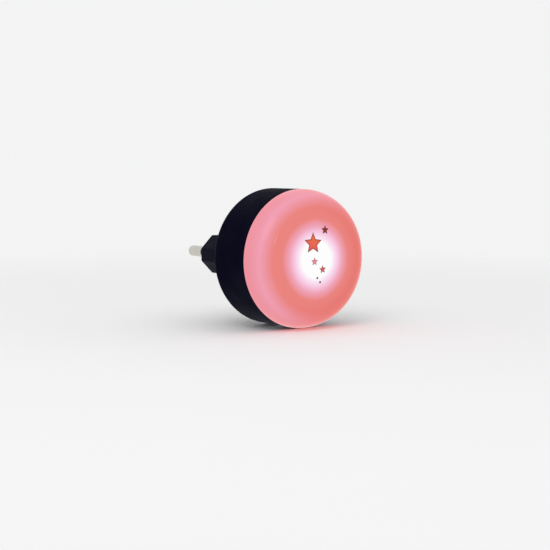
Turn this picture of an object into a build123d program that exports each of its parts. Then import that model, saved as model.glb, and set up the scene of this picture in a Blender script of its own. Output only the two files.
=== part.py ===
from build123d import *
import math
import os

# A round plug-in night light, in millimetres.
# The origin is the centre of the flat back face that seats on the socket.
# +Z is up, +X is right, and -Y points into the room. Depth is measured from
# the seating face into the room, so the plug lies at negative depths.

os.makedirs("parts", exist_ok=True)

# Housing and diffuser
body_radius = 24.0
housing_depth = 19.4
housing_wall = 1.8
back_wall = 2.0
back_edge_round = 3.0
rim_chamfer = 0.2
dome_wall = 1.8
rim_band = 0.4
side_arc_radius = 11.0
side_arc_turn = 30.0
corner_arc_radius = 6.4
crown_start = 84.0

# Joint between the housing and the diffuser
lip_wall = 0.9
lip_depth = 2.8
tongue_clearance = 0.05
snap_count = 4
snap_arc = 20.0
snap_height = 0.3
snap_width = 0.7
snap_from_rim = 1.2
snap_clearance = 0.05

# Plug boss
plug_width = 35.3
plug_height = 13.7
plug_corner_cut = 4.6
plug_length = 17.0
plug_wall = 1.8
plug_end_wall = 5.0
plug_edge_round = 0.8
plug_opening_clearance = 0.1
divider_thickness = 1.4
divider_height = 10.0
flange_overhang = 1.6
flange_thickness = 2.0

# Contact pins
pin_radius = 2.0
pin_spacing = 18.6
pin_length = 19.0
pin_tip_round = 1.2
pin_root_radius = 1.7
pin_bore_clearance = 0.02
pin_pillar_wall = 2.0
pin_pillar_height = 6.0
sleeve_length = 10.0
sleeve_seat_depth = 1.0
sleeve_radius = 1.8
sleeve_wall = 0.4
sleeve_clearance = 0.01
pin_tail_radius = 1.2
pin_tail_head = 0.5
pin_tail_head_width = 0.5

# Contact strips
strip_thickness = 0.4
strip_width = 3.0
strip_bend = 0.5
strip_gap = 0.1
strip_slot_clearance = 0.1

# Screws
insert_screw_height = 10.2
insert_post_radius = 1.8
insert_post_recess = 0.2
insert_ear_radius = 3.4
insert_shank_radius = 0.85
insert_head_radius = 2.6
insert_shank_length = 2.9
board_screw_x = 11.5
board_screw_z = 12.5
board_post_radius = 2.3
board_shank_radius = 0.95
board_head_radius = 2.1
board_shank_length = 4.0
board_peg_radius = 0.9
screw_head_height = 1.4
screw_head_chamfer = 0.4
screw_hole_clearance = 0.35
post_hole_clearance = 0.1
pilot_clearance = 0.02
pilot_spare_depth = 0.2

# Circuit boards
driver_board_radius = 19.8
driver_board_level = 6.2
driver_board_thickness = 1.2
peg_clearance = 0.1
lead_clearance = 0.1
lead_tail = 0.8
led_board_radius = 9.0
led_board_thickness = 1.0

# Reflector
reflector_floor_level = 14.4
reflector_wall = 1.0
reflector_clearance = 0.1
reflector_collar_wall = 0.8
reflector_collar_height = 0.8
reflector_rim_thickness = 0.9
reflector_rim_width = 2.2
stake_radius = 0.75
stake_x = 6.6
stake_z = 2.8
stake_head_radius = 1.2
stake_head_height = 0.5
stake_clearance = 0.1

# Components on the driver board
film_width = 13.0
film_length = 11.0
film_height = 6.0
film_x = -7.5
film_z = 8.1
film_lead_pitch = 10.0
film_edge_chamfer = 0.4
can_radius = 3.15
can_length = 11.0
can_x = 5.0
can_z = 8.2
can_lead_pitch = 2.5
can_groove_depth = 0.35
can_groove_width = 0.9
fuse_radius = 1.6
fuse_length = 9.0
fuse_x = -10.5
fuse_z = -5.0
fuse_waist = 0.25
fuse_end_chamfer = 0.6
lead_radius = 0.35
lead_reach = 1.4
bridge_width = 4.7
bridge_length = 3.9
bridge_height = 2.4
bridge_x = 12.5
bridge_z = 5.8
bridge_leg_pitch = 2.5
bridge_leg_width = 0.7
bridge_leg_reach = 0.9
bridge_leg_thickness = 0.25
chip_width = 3.2
chip_length = 1.6
chip_height = 0.6
chip_pitch = 4.6
chip_x = 9.6
chip_z = -5.0

# Link between the boards
link_z = -6.3
link_pitch = 2.54
link_pin_size = 0.64
link_block_size = 2.5
link_clearance = 0.02

# Light emitters
led_count = 3
led_ring_radius = 4.6
led_width = 2.8
led_length = 3.5
led_height = 0.7
led_cup_radius = 1.1
led_cup_depth = 0.4

# Slide switch
switch_travel = 3.0
switch_width = 12.7
switch_height = 6.6
switch_thickness = 5.2
switch_standoff = 1.3
switch_sheet = 0.4
switch_base_thickness = 1.6
switch_fit = 0.05
terminal_pitch = 3.5
terminal_width = 0.8
terminal_thickness = 0.4
terminal_pad_width = 2.4
terminal_pad_length = 3.0
terminal_pad_thickness = 0.2
wiper_length = 5.6
wiper_width = 2.4
wiper_thickness = 0.25
slider_length = 6.5
slider_width = 4.4
slider_thickness = 2.3
slider_running_gap = 0.1
lever_width = 2.4
lever_thickness = 1.6
lever_length = 3.6
lever_clearance = 0.05

# Switch knob and its slot in the underside
knob_width = 4.0
knob_depth = 3.0
knob_proud = 0.3
knob_ridge_count = 3
knob_ridge_depth = 0.4
knob_ridge_width = 0.5
knob_ridge_pitch = 1.1
knob_flange_depth = 5.6
knob_flange_thickness = 0.7
knob_flange_overlap = 0.1
knob_running_gap = 0.3
recess_length = 14.0
recess_width = 7.0
recess_corner = 2.0
recess_floor_depth = 1.3
slot_corner = 0.5
pad_width = 17.0
pad_floor = 1.8
pad_end = 3.5

# Levels and places that follow from the sizes above
rim_ledge_level = housing_depth - lip_depth
housing_bore_radius = body_radius - housing_wall
lip_bore_radius = body_radius - lip_wall
flange_level = back_wall
flange_front = flange_level + flange_thickness
boss_end = -plug_length
cavity_end = boss_end + plug_end_wall
pillar_top = cavity_end + pin_pillar_height
pin_x = pin_spacing / 2
driver_board_front = driver_board_level + driver_board_thickness
lead_end = driver_board_level - lead_tail
reflector_floor_front = reflector_floor_level + reflector_wall
led_board_front = reflector_floor_front + led_board_thickness
strip_leg_x = pin_x + pin_root_radius + pin_pillar_wall + strip_gap
strip_leg_end = driver_board_front + lead_tail / 2
switch_base_front = driver_board_front + switch_base_thickness
wiper_level = switch_base_front + terminal_pad_thickness + switch_fit
slider_level = wiper_level + wiper_thickness
lever_level = slider_level + slider_thickness / 2
slider_x = switch_travel / 2
recess_floor_z = -body_radius + recess_floor_depth
pad_face_z = recess_floor_z + pad_floor
slot_length = switch_travel + knob_width + 2 * knob_running_gap
slot_width = knob_depth + 2 * knob_running_gap
knob_flange_length = slot_length + switch_travel + 2 * knob_flange_overlap
knob_flange_front_z = pad_face_z + knob_running_gap
knob_flange_back_z = knob_flange_front_z + knob_flange_thickness
knob_tip_z = -body_radius - knob_proud
switch_front_z = knob_flange_back_z + switch_standoff
switch_z = switch_front_z + switch_height / 2
lever_tip_z = switch_front_z - lever_length

# The half section through the lamp's axis: local x is the radius, local y the depth
section = Plane(origin=(0, 0, 0), x_dir=(1, 0, 0), z_dir=(0, 0, -1))
board_screw_places = [(board_screw_x, board_screw_z), (-board_screw_x, -board_screw_z)]
board_peg_places = [(-board_screw_x, board_screw_z), (board_screw_x, -board_screw_z)]
insert_screw_places = [(0, insert_screw_height), (0, -insert_screw_height)]
pin_places = [(-pin_x, 0), (pin_x, 0)]
stake_places = [(-stake_x, stake_z), (stake_x, stake_z)]
link_places = [(-link_pitch / 2, link_z), (link_pitch / 2, link_z)]


def level(depth):
    """The plane parallel to the wall at this depth: local x is +X and local y is +Z."""
    return Plane.XZ.offset(depth)


def facing_down(height, depth=0.0, across=0.0):
    """A plane at this Z that faces the floor: local x is +X and local y the depth."""
    return Plane(origin=(across, -depth, height), x_dir=(1, 0, 0), z_dir=(0, 0, -1))


def dome_curve(inset):
    """Draw the rim band, two tangent shoulder arcs and the crown arc; return both ends.

    The inset shrinks every arc alike, so the inner curve runs parallel to the outer one.
    """
    rim = Vector(body_radius - inset, housing_depth)
    band_end = housing_depth + rim_band
    Line(rim, (rim.X, band_end))
    side_centre = Vector(body_radius - side_arc_radius, band_end)
    CenterArc(side_centre, side_arc_radius - inset, 0, side_arc_turn)
    to_corner = Vector(side_arc_radius - corner_arc_radius, 0).rotate(Axis.Z, side_arc_turn)
    corner_centre = side_centre + to_corner
    corner = CenterArc(
        corner_centre, corner_arc_radius - inset, side_arc_turn, crown_start - side_arc_turn
    )
    crown_radius = (corner @ 1).X / math.cos(math.radians(crown_start))
    crown_rise = crown_radius * (1 - math.sin(math.radians(crown_start)))
    apex = Vector(0, (corner @ 1).Y + crown_rise)
    TangentArc(corner @ 1, apex, tangent=corner % 1)
    return rim, apex


def widest_rings(builder):
    """The circular edges round the lamp's axis that have the largest radius."""
    rings = builder.edges().filter_by(GeomType.CIRCLE).filter_by(Plane.XZ)
    return rings.group_by(SortBy.RADIUS)[-1]


def snap_profile(clearance):
    """The half-section of one snap bead on the tongue, or of its pocket with a clearance."""
    start = lip_bore_radius - tongue_clearance
    middle = housing_depth - snap_from_rim
    half = snap_width / 2 + clearance
    tip = start + snap_height + clearance
    Polygon(
        (start - lip_wall / 2, middle - half),
        (start, middle - half),
        (tip, middle - half / 2),
        (tip, middle + half / 2),
        (start, middle + half),
        (start - lip_wall / 2, middle + half),
        align=None,
    )


def snap_planes(arc):
    """The turned half-sections at which the snap beads start, centred on the diagonals."""
    step = 360 / snap_count
    return [section.rotated((0, step * (i + 0.5) - arc / 2, 0)) for i in range(snap_count)]


def plug_outline(grow):
    """The flattened hexagon of the plug boss, grown or shrunk all round."""
    x_end = plug_width / 2
    z_top = plug_height / 2
    Polygon(
        (x_end, -z_top + plug_corner_cut),
        (x_end, z_top - plug_corner_cut),
        (x_end - plug_corner_cut, z_top),
        (-x_end + plug_corner_cut, z_top),
        (-x_end, z_top - plug_corner_cut),
        (-x_end, -z_top + plug_corner_cut),
        (-x_end + plug_corner_cut, -z_top),
        (x_end - plug_corner_cut, -z_top),
        align=None,
    )
    if grow:
        offset(amount=grow, kind=Kind.INTERSECTION, mode=Mode.REPLACE)


def bent_lead(tip, turn, foot):
    """A round component lead from its tip, round one sharp bend and down into the board."""
    with BuildPart() as lead:
        with BuildLine():
            Polyline(tip, turn, foot)
        with BuildSketch(Plane(origin=tip, z_dir=Vector(turn) - Vector(tip))):
            Circle(lead_radius)
        sweep(transition=Transition.RIGHT)
    return lead.part


def screws(places, head_level, head_radius, shank_radius, shank_length):
    """Pan-head screws seated with their heads on one level, as one group of solids."""
    with BuildPart() as group:
        with BuildSketch(level(head_level)):
            with Locations(*places):
                Circle(head_radius)
        extrude(amount=screw_head_height)
        chamfer(group.edges().group_by(Axis.Y)[0], screw_head_chamfer)
        with BuildSketch(level(head_level)):
            with Locations(*places):
                Circle(shank_radius)
        extrude(amount=-shank_length)
        chamfer(group.edges().group_by(Axis.Y)[-1], shank_radius / 2)
    return group


def save(builder, name):
    """Label a finished piece and write it to its own file."""
    builder.part.label = name
    export_step(builder.part, f"parts/{name}.step")


# Diffuser: an opal cap with a tongue and snap beads that hold it in the housing
with BuildPart() as diffuser_dome:
    tongue_radius = lip_bore_radius - tongue_clearance
    tongue_end = rim_ledge_level + reflector_rim_thickness
    with BuildSketch(section):
        with BuildLine():
            rim, apex = dome_curve(0)
            inner_rim, inner_apex = dome_curve(dome_wall)
            Line(apex, inner_apex)
            Polyline(
                rim,
                (tongue_radius, housing_depth),
                (tongue_radius, tongue_end),
                (body_radius - dome_wall, tongue_end),
                inner_rim,
            )
        make_face()
    revolve(axis=Axis.Y)
    chamfer(widest_rings(diffuser_dome).sort_by(Axis.Y)[-1], rim_chamfer)
    for plane in snap_planes(snap_arc):
        with BuildSketch(plane):
            snap_profile(0)
        revolve(axis=Axis.Y, revolution_arc=snap_arc)

# Housing: the drum, with the switch slot, the plug opening and the inner posts
with BuildPart() as housing:
    with BuildSketch(section):
        with BuildLine():
            Polyline(
                (0, 0),
                (body_radius, 0),
                (body_radius, housing_depth),
                (lip_bore_radius, housing_depth),
                (lip_bore_radius, rim_ledge_level),
                (housing_bore_radius, rim_ledge_level),
                (housing_bore_radius, back_wall),
                (0, back_wall),
                close=True,
            )
        make_face()
    revolve(axis=Axis.Y)
    fillet(widest_rings(housing).sort_by(Axis.Y)[-1], back_edge_round)
    chamfer(widest_rings(housing).sort_by(Axis.Y)[0], rim_chamfer)
    for plane in snap_planes(snap_arc + 2 * math.degrees(snap_clearance / lip_bore_radius)):
        with BuildSketch(plane):
            snap_profile(snap_clearance)
        revolve(
            axis=Axis.Y,
            revolution_arc=snap_arc + 2 * math.degrees(snap_clearance / lip_bore_radius),
            mode=Mode.SUBTRACT,
        )
    # The flat pad inside the underside, for the switch slot
    pad_depth = lever_level + slot_width / 2 + pad_end
    with BuildSketch(level(back_wall)):
        with Locations((0, pad_face_z)):
            Rectangle(pad_width, body_radius, align=(Align.CENTER, Align.MAX))
        Circle(body_radius - housing_wall / 2, mode=Mode.INTERSECT)
    extrude(amount=pad_depth - back_wall)
    with BuildSketch(facing_down(-body_radius, lever_level)):
        RectangleRounded(recess_length, recess_width, recess_corner)
    extrude(amount=-recess_floor_depth, both=True, mode=Mode.SUBTRACT)
    with BuildSketch(facing_down(-body_radius, lever_level)):
        RectangleRounded(slot_length, slot_width, slot_corner)
    extrude(amount=-(recess_floor_depth + pad_floor), mode=Mode.SUBTRACT)
    # Posts for the insert screws and for the driver board
    with BuildSketch(level(back_wall)):
        with Locations(*insert_screw_places):
            Circle(insert_post_radius)
    extrude(amount=flange_thickness - insert_post_recess)
    with BuildSketch(level(back_wall)):
        with Locations(*board_screw_places, *board_peg_places):
            Circle(board_post_radius)
    extrude(amount=driver_board_level - back_wall)
    with BuildSketch(level(driver_board_level)):
        with Locations(*board_peg_places):
            Circle(board_peg_radius)
    extrude(amount=driver_board_thickness)
    with BuildSketch(level(flange_front)):
        with Locations(*insert_screw_places):
            Circle(insert_shank_radius + pilot_clearance)
    extrude(amount=-(insert_shank_length + pilot_spare_depth), mode=Mode.SUBTRACT)
    with BuildSketch(level(driver_board_front)):
        with Locations(*board_screw_places):
            Circle(board_shank_radius + pilot_clearance)
    extrude(amount=-(board_shank_length + pilot_spare_depth), mode=Mode.SUBTRACT)
    # The opening that the plug boss passes through
    with BuildSketch(level(back_wall)):
        plug_outline(plug_opening_clearance)
    extrude(amount=-back_wall, mode=Mode.SUBTRACT)

# Plug insert: a hollow boss with pin pillars, a divider and a flange with two ears
with BuildPart() as plug_insert:
    with BuildSketch(level(flange_level)):
        plug_outline(0)
    extrude(amount=-(flange_level + plug_length))
    fillet(plug_insert.edges().filter_by(Axis.Y), plug_edge_round)
    fillet(plug_insert.faces().sort_by(Axis.Y)[-1].edges(), plug_edge_round)
    with BuildSketch(level(flange_level)):
        plug_outline(flange_overhang)
        Rectangle(2 * insert_ear_radius, 2 * insert_screw_height)
        with Locations(*insert_screw_places):
            Circle(insert_ear_radius)
    extrude(amount=flange_thickness)
    with BuildSketch(level(flange_front)):
        plug_outline(-plug_wall)
    extrude(amount=cavity_end - flange_front, mode=Mode.SUBTRACT)
    with BuildSketch(level(cavity_end)):
        with Locations(*pin_places):
            Circle(pin_root_radius + pin_pillar_wall)
    extrude(amount=pin_pillar_height)
    with BuildSketch(level(cavity_end)):
        Rectangle(divider_thickness, plug_height - plug_wall)
    extrude(amount=divider_height)
    with BuildSketch(level(pillar_top)):
        with Locations(*pin_places):
            Circle(pin_root_radius + pin_bore_clearance)
    extrude(amount=boss_end - pillar_top, mode=Mode.SUBTRACT)
    with BuildSketch(level(boss_end)):
        with Locations(*pin_places):
            Circle(sleeve_radius + pin_bore_clearance)
    extrude(amount=sleeve_seat_depth, mode=Mode.SUBTRACT)
    with BuildSketch(level(flange_level)):
        with Locations(*insert_screw_places):
            Circle(insert_post_radius + post_hole_clearance)
    extrude(amount=flange_thickness, mode=Mode.SUBTRACT)


def contact_pin(across):
    """A round pin, necked for its sleeve, with a root in the boss and a peened tail."""
    tip_level = boss_end - pin_length
    neck_start = boss_end - sleeve_length
    neck_end = boss_end + sleeve_seat_depth
    neck_radius = sleeve_radius - sleeve_wall
    strip_front = pillar_top + strip_thickness
    pin_section = Plane(origin=(across, 0, 0), x_dir=(1, 0, 0), z_dir=(0, 0, -1))
    with BuildPart() as pin:
        with BuildSketch(pin_section):
            with BuildLine():
                Polyline(
                    (0, tip_level),
                    (pin_radius, tip_level),
                    (pin_radius, neck_start),
                    (neck_radius, neck_start),
                    (neck_radius, neck_end),
                    (pin_root_radius, neck_end),
                    (pin_root_radius, pillar_top),
                    (pin_tail_radius, pillar_top),
                    (pin_tail_radius, strip_front),
                    (pin_tail_radius + pin_tail_head_width, strip_front),
                    (pin_tail_radius, strip_front + pin_tail_head),
                    (0, strip_front + pin_tail_head),
                    close=True,
                )
            make_face()
        revolve(axis=Axis((across, 0, 0), (0, 1, 0)))
        fillet(pin.edges().sort_by(Axis.Y)[-1], pin_tip_round)
    return pin


def pin_sleeve(across):
    """The insulating sleeve in the neck of one pin."""
    with BuildPart() as sleeve:
        with BuildSketch(level(boss_end + sleeve_seat_depth)):
            with Locations((across, 0)):
                Circle(sleeve_radius)
                Circle(sleeve_radius - sleeve_wall + sleeve_clearance, mode=Mode.SUBTRACT)
        extrude(amount=-(sleeve_seat_depth + sleeve_length))
    return sleeve


def contact_strip(side):
    """A brass strip: a foot under the pin's tail and a leg that rises to the board."""
    foot_end = pin_x - pin_tail_radius - pin_tail_head_width
    with BuildPart() as strip:
        with BuildSketch(section):
            with BuildLine():
                leg_outside = strip_leg_x + strip_thickness
                foot_front = pillar_top + strip_thickness
                Polyline(
                    (side * foot_end, pillar_top),
                    (side * leg_outside, pillar_top),
                    (side * leg_outside, strip_leg_end),
                    (side * strip_leg_x, strip_leg_end),
                    (side * strip_leg_x, foot_front),
                    (side * foot_end, foot_front),
                    close=True,
                )
            make_face()
        extrude(amount=strip_width / 2, both=True)
        outer_bend = strip.edges().filter_by(Axis.Z).group_by(Axis.Y)[-1].sort_by(Axis.X)
        fillet(outer_bend[-1] if side > 0 else outer_bend[0], strip_bend)
        with BuildSketch(level(pillar_top)):
            with Locations((side * pin_x, 0)):
                Circle(pin_tail_radius + pilot_clearance)
        extrude(amount=strip_thickness, mode=Mode.SUBTRACT)
    return strip


# Screws that hold the plug insert and the driver board
insert_screws = screws(
    insert_screw_places, flange_front, insert_head_radius, insert_shank_radius, insert_shank_length
)
board_screws = screws(
    board_screw_places, driver_board_front, board_head_radius, board_shank_radius, board_shank_length
)

# Film capacitor: a box lying on the board, with both leads bent down into it
film_end_z = film_z - film_length / 2
film_lead_places = [
    (film_x - film_lead_pitch / 2, film_end_z - lead_reach),
    (film_x + film_lead_pitch / 2, film_end_z - lead_reach),
]
film_lead_depth = driver_board_front + film_height / 2
film_leads = [
    bent_lead((x, -film_lead_depth, film_end_z), (x, -film_lead_depth, z), (x, -lead_end, z))
    for x, z in film_lead_places
]
with BuildPart() as film_capacitor:
    with BuildSketch(level(driver_board_front)):
        with Locations((film_x, film_z)):
            Rectangle(film_width, film_length)
    extrude(amount=film_height)
    chamfer(film_capacitor.edges(), film_edge_chamfer)
    add(film_leads)

# Smoothing capacitor: an aluminium can lying on the board, with its rolled groove
can_end_z = can_z - can_length / 2
can_axis_depth = driver_board_front + can_radius
can_lead_places = [
    (can_x - can_lead_pitch / 2, can_end_z - lead_reach),
    (can_x + can_lead_pitch / 2, can_end_z - lead_reach),
]
can_leads = [
    bent_lead((x, -can_axis_depth, can_end_z), (x, -can_axis_depth, z), (x, -lead_end, z))
    for x, z in can_lead_places
]
with BuildPart() as smoothing_capacitor:
    with BuildSketch(Plane(origin=(can_x, -can_axis_depth, can_end_z))):
        Circle(can_radius)
    extrude(amount=can_length)
    chamfer(smoothing_capacitor.edges().filter_by(GeomType.CIRCLE), can_groove_depth)
    with BuildSketch(Plane(origin=(can_x, -can_axis_depth, can_end_z + 2 * can_groove_width))):
        Circle(can_radius)
        Circle(can_radius - can_groove_depth, mode=Mode.SUBTRACT)
    extrude(amount=can_groove_width, mode=Mode.SUBTRACT)
    add(can_leads)

# Fusible resistor: a waisted body between two bent leads
fuse_depth = driver_board_front + fuse_radius
fuse_lead_places = [
    (fuse_x - fuse_length / 2 - lead_reach, fuse_z),
    (fuse_x + fuse_length / 2 + lead_reach, fuse_z),
]
fuse_leads = [
    bent_lead((fuse_x, -fuse_depth, z), (x, -fuse_depth, z), (x, -lead_end, z))
    for x, z in fuse_lead_places
]
with BuildPart() as fusible_resistor:
    with BuildSketch(Plane(origin=(fuse_x - fuse_length / 2, -fuse_depth, fuse_z), z_dir=(1, 0, 0))):
        Circle(fuse_radius)
    extrude(amount=fuse_length)
    chamfer(fusible_resistor.edges().filter_by(GeomType.CIRCLE), fuse_end_chamfer)
    with BuildSketch(Plane(origin=(fuse_x - fuse_length / 4, -fuse_depth, fuse_z), z_dir=(1, 0, 0))):
        Circle(fuse_radius)
        Circle(fuse_radius - fuse_waist, mode=Mode.SUBTRACT)
    extrude(amount=fuse_length / 2, mode=Mode.SUBTRACT)
    add(fuse_leads)

# Bridge rectifier: a moulded body on four gull-wing legs
with BuildPart() as bridge_rectifier:
    with BuildSketch(level(driver_board_front + bridge_leg_thickness)):
        with Locations((bridge_x, bridge_z)):
            Rectangle(bridge_width, bridge_length)
    extrude(amount=bridge_height)
    chamfer(bridge_rectifier.edges().group_by(Axis.Y)[0], bridge_leg_thickness)
    leg_offset = bridge_width / 2 + bridge_leg_reach / 2 - bridge_leg_thickness
    with BuildSketch(level(driver_board_front)):
        with Locations((bridge_x, bridge_z)):
            with GridLocations(2 * leg_offset, bridge_leg_pitch, 2, 2):
                Rectangle(bridge_leg_reach + 2 * bridge_leg_thickness, bridge_leg_width)
    extrude(amount=bridge_leg_thickness)

# Chip resistors that bleed the film capacitor and set the current
with BuildPart() as chip_resistors:
    with BuildSketch(level(driver_board_front)):
        with Locations((chip_x, chip_z)):
            with GridLocations(chip_pitch, 0, 2, 1):
                Rectangle(chip_width, chip_length)
    extrude(amount=chip_height)

# Link header: a block on the driver board with two square pins up to the other board
with BuildPart() as link_header:
    with BuildSketch(level(driver_board_front)):
        with Locations((0, link_z)):
            Rectangle(2 * link_pitch, link_block_size)
        with Locations(*link_places):
            Rectangle(
                link_pin_size + 2 * link_clearance, link_pin_size + 2 * link_clearance, mode=Mode.SUBTRACT
            )
    extrude(amount=link_block_size)

with BuildPart() as link_pins:
    with BuildSketch(level(lead_end)):
        with Locations(*link_places):
            Rectangle(link_pin_size, link_pin_size)
    extrude(amount=led_board_front + lead_tail / 2 - lead_end)

# Slide switch, fixed half: base plate, steel frame and terminals
terminal_places = [(-terminal_pitch, switch_z), (0, switch_z), (terminal_pitch, switch_z)]
frame_inside_width = switch_width - 2 * switch_sheet
frame_inside_height = switch_height - 2 * switch_sheet
with BuildPart() as switch_base:
    with BuildSketch(level(driver_board_front)):
        with Locations((0, switch_z)):
            Rectangle(frame_inside_width - 2 * switch_fit, frame_inside_height - 2 * switch_fit)
        with Locations(*terminal_places):
            Rectangle(
                terminal_width + 2 * link_clearance,
                terminal_thickness + 2 * link_clearance,
                mode=Mode.SUBTRACT,
            )
    extrude(amount=switch_base_thickness)

with BuildPart() as switch_frame:
    with BuildSketch(level(driver_board_front)):
        with Locations((0, switch_z)):
            Rectangle(switch_width, switch_height)
    extrude(amount=switch_thickness)
    fillet(switch_frame.edges().filter_by(Axis.Y), switch_sheet)
    with BuildSketch(level(driver_board_front)):
        with Locations((0, switch_z)):
            Rectangle(frame_inside_width, frame_inside_height)
    extrude(amount=switch_thickness - switch_sheet, mode=Mode.SUBTRACT)
    with BuildSketch(facing_down(switch_front_z, lever_level)):
        Rectangle(
            lever_width + switch_travel + 2 * knob_running_gap, lever_thickness + 2 * slider_running_gap
        )
    extrude(amount=-switch_sheet, mode=Mode.SUBTRACT)

with BuildPart() as switch_terminals:
    with BuildSketch(level(lead_end)):
        with Locations(*terminal_places):
            Rectangle(terminal_width, terminal_thickness)
    extrude(amount=switch_base_front - lead_end)
    with BuildSketch(level(switch_base_front)):
        with Locations(*terminal_places):
            Rectangle(terminal_pad_width, terminal_pad_length)
    extrude(amount=terminal_pad_thickness)

# Slide switch, sliding half: bridging wiper, actuator with its lever, and the knob
with BuildPart() as switch_wiper:
    with BuildSketch(level(wiper_level)):
        with Locations((slider_x, switch_z)):
            Rectangle(wiper_length, wiper_width)
    extrude(amount=wiper_thickness)
    chamfer(switch_wiper.edges().filter_by(Axis.Z).group_by(Axis.Y)[-1], wiper_thickness / 2)

with BuildPart() as switch_actuator:
    with BuildSketch(level(slider_level)):
        with Locations((slider_x, switch_z)):
            Rectangle(slider_length, slider_width)
    extrude(amount=slider_thickness)
    with BuildSketch(facing_down(switch_z - slider_width / 2, lever_level, slider_x)):
        Rectangle(lever_width, lever_thickness)
    extrude(amount=switch_z - slider_width / 2 - lever_tip_z)

with BuildPart() as switch_knob:
    with BuildSketch(facing_down(knob_flange_back_z, lever_level, slider_x)):
        RectangleRounded(knob_flange_length, knob_flange_depth, slot_corner)
    extrude(amount=knob_flange_thickness)
    with BuildSketch(facing_down(knob_flange_front_z, lever_level, slider_x)):
        RectangleRounded(knob_width, knob_depth, slot_corner)
    extrude(amount=knob_flange_front_z - knob_tip_z)
    with BuildSketch(facing_down(knob_tip_z, lever_level, slider_x)):
        with GridLocations(knob_ridge_pitch, 0, knob_ridge_count, 1):
            Rectangle(knob_ridge_width, knob_depth)
    extrude(amount=-knob_ridge_depth, mode=Mode.SUBTRACT)
    with BuildSketch(facing_down(knob_flange_back_z, lever_level, slider_x)):
        Rectangle(lever_width + 2 * lever_clearance, lever_thickness + 2 * lever_clearance)
    extrude(amount=knob_flange_back_z - lever_tip_z + lever_clearance, mode=Mode.SUBTRACT)

# Driver board: a round board with one flat edge at the switch
with BuildPart() as driver_board:
    with BuildSketch(level(driver_board_level)):
        Circle(driver_board_radius)
        with Locations((0, switch_front_z)):
            Rectangle(
                2 * driver_board_radius,
                driver_board_radius,
                align=(Align.CENTER, Align.MAX),
                mode=Mode.SUBTRACT,
            )
        with Locations(*board_screw_places):
            Circle(board_shank_radius + screw_hole_clearance, mode=Mode.SUBTRACT)
        with Locations(*board_peg_places):
            Circle(board_peg_radius + peg_clearance, mode=Mode.SUBTRACT)
        with Locations(*film_lead_places, *can_lead_places, *fuse_lead_places):
            Circle(lead_radius + lead_clearance, mode=Mode.SUBTRACT)
        with Locations(*link_places):
            Circle(link_pin_size / math.sqrt(2) + lead_clearance, mode=Mode.SUBTRACT)
        with Locations(*terminal_places):
            Circle(math.hypot(terminal_width, terminal_thickness) / 2 + lead_clearance, mode=Mode.SUBTRACT)
        with GridLocations(2 * strip_leg_x + strip_thickness, 0, 2, 1):
            Rectangle(
                strip_thickness + 2 * strip_slot_clearance,
                strip_width + 2 * strip_slot_clearance,
                mode=Mode.SUBTRACT,
            )
    extrude(amount=driver_board_thickness)

# Reflector: a shallow white dish whose rim lies on the housing's ledge
with BuildPart() as reflector:
    collar_radius = led_board_radius + reflector_clearance
    collar_outside = collar_radius + reflector_collar_wall
    rim_radius = lip_bore_radius - reflector_clearance
    rim_front = rim_ledge_level + reflector_rim_thickness
    with BuildSketch(section):
        with BuildLine():
            Polyline(
                (0, reflector_floor_level),
                (collar_outside, reflector_floor_level),
                (rim_radius - reflector_rim_width, rim_ledge_level),
                (rim_radius, rim_ledge_level),
                (rim_radius, rim_front),
                (rim_radius - reflector_rim_width, rim_front),
                (collar_outside, reflector_floor_front),
                (collar_outside, reflector_floor_front + reflector_collar_height),
                (collar_radius, reflector_floor_front + reflector_collar_height),
                (collar_radius, reflector_floor_front),
                (0, reflector_floor_front),
                close=True,
            )
        make_face()
    revolve(axis=Axis.Y)
    with BuildSketch(level(reflector_floor_front)):
        with Locations(*stake_places):
            Circle(stake_radius)
    extrude(amount=led_board_thickness)
    with BuildSketch(level(led_board_front)):
        with Locations(*stake_places):
            Circle(stake_head_radius)
    extrude(amount=stake_head_height)
    with BuildSketch(level(reflector_floor_level)):
        with Locations((0, link_z)):
            Rectangle(2 * link_pitch, link_block_size)
    extrude(amount=reflector_wall, mode=Mode.SUBTRACT)

# Light board: a small round board staked to the reflector
with BuildPart() as led_board:
    with BuildSketch(level(reflector_floor_front)):
        Circle(led_board_radius)
        with Locations(*stake_places):
            Circle(stake_radius + stake_clearance, mode=Mode.SUBTRACT)
        with Locations(*link_places):
            Circle(link_pin_size / math.sqrt(2) + lead_clearance, mode=Mode.SUBTRACT)
    extrude(amount=led_board_thickness)

# Light emitters: white packages with a round cup, and the phosphor that fills it
with BuildPart() as led_bodies:
    with BuildSketch(level(led_board_front)):
        with PolarLocations(led_ring_radius, led_count, start_angle=90, rotate=False):
            Rectangle(led_width, led_length)
    extrude(amount=led_height)
    with BuildSketch(level(led_board_front + led_height)):
        with PolarLocations(led_ring_radius, led_count, start_angle=90, rotate=False):
            Circle(led_cup_radius)
    extrude(amount=-led_cup_depth, mode=Mode.SUBTRACT)

with BuildPart() as led_phosphors:
    with BuildSketch(level(led_board_front + led_height - led_cup_depth)):
        with PolarLocations(led_ring_radius, led_count, start_angle=90, rotate=False):
            Circle(led_cup_radius - link_clearance)
    extrude(amount=led_cup_depth)

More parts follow.
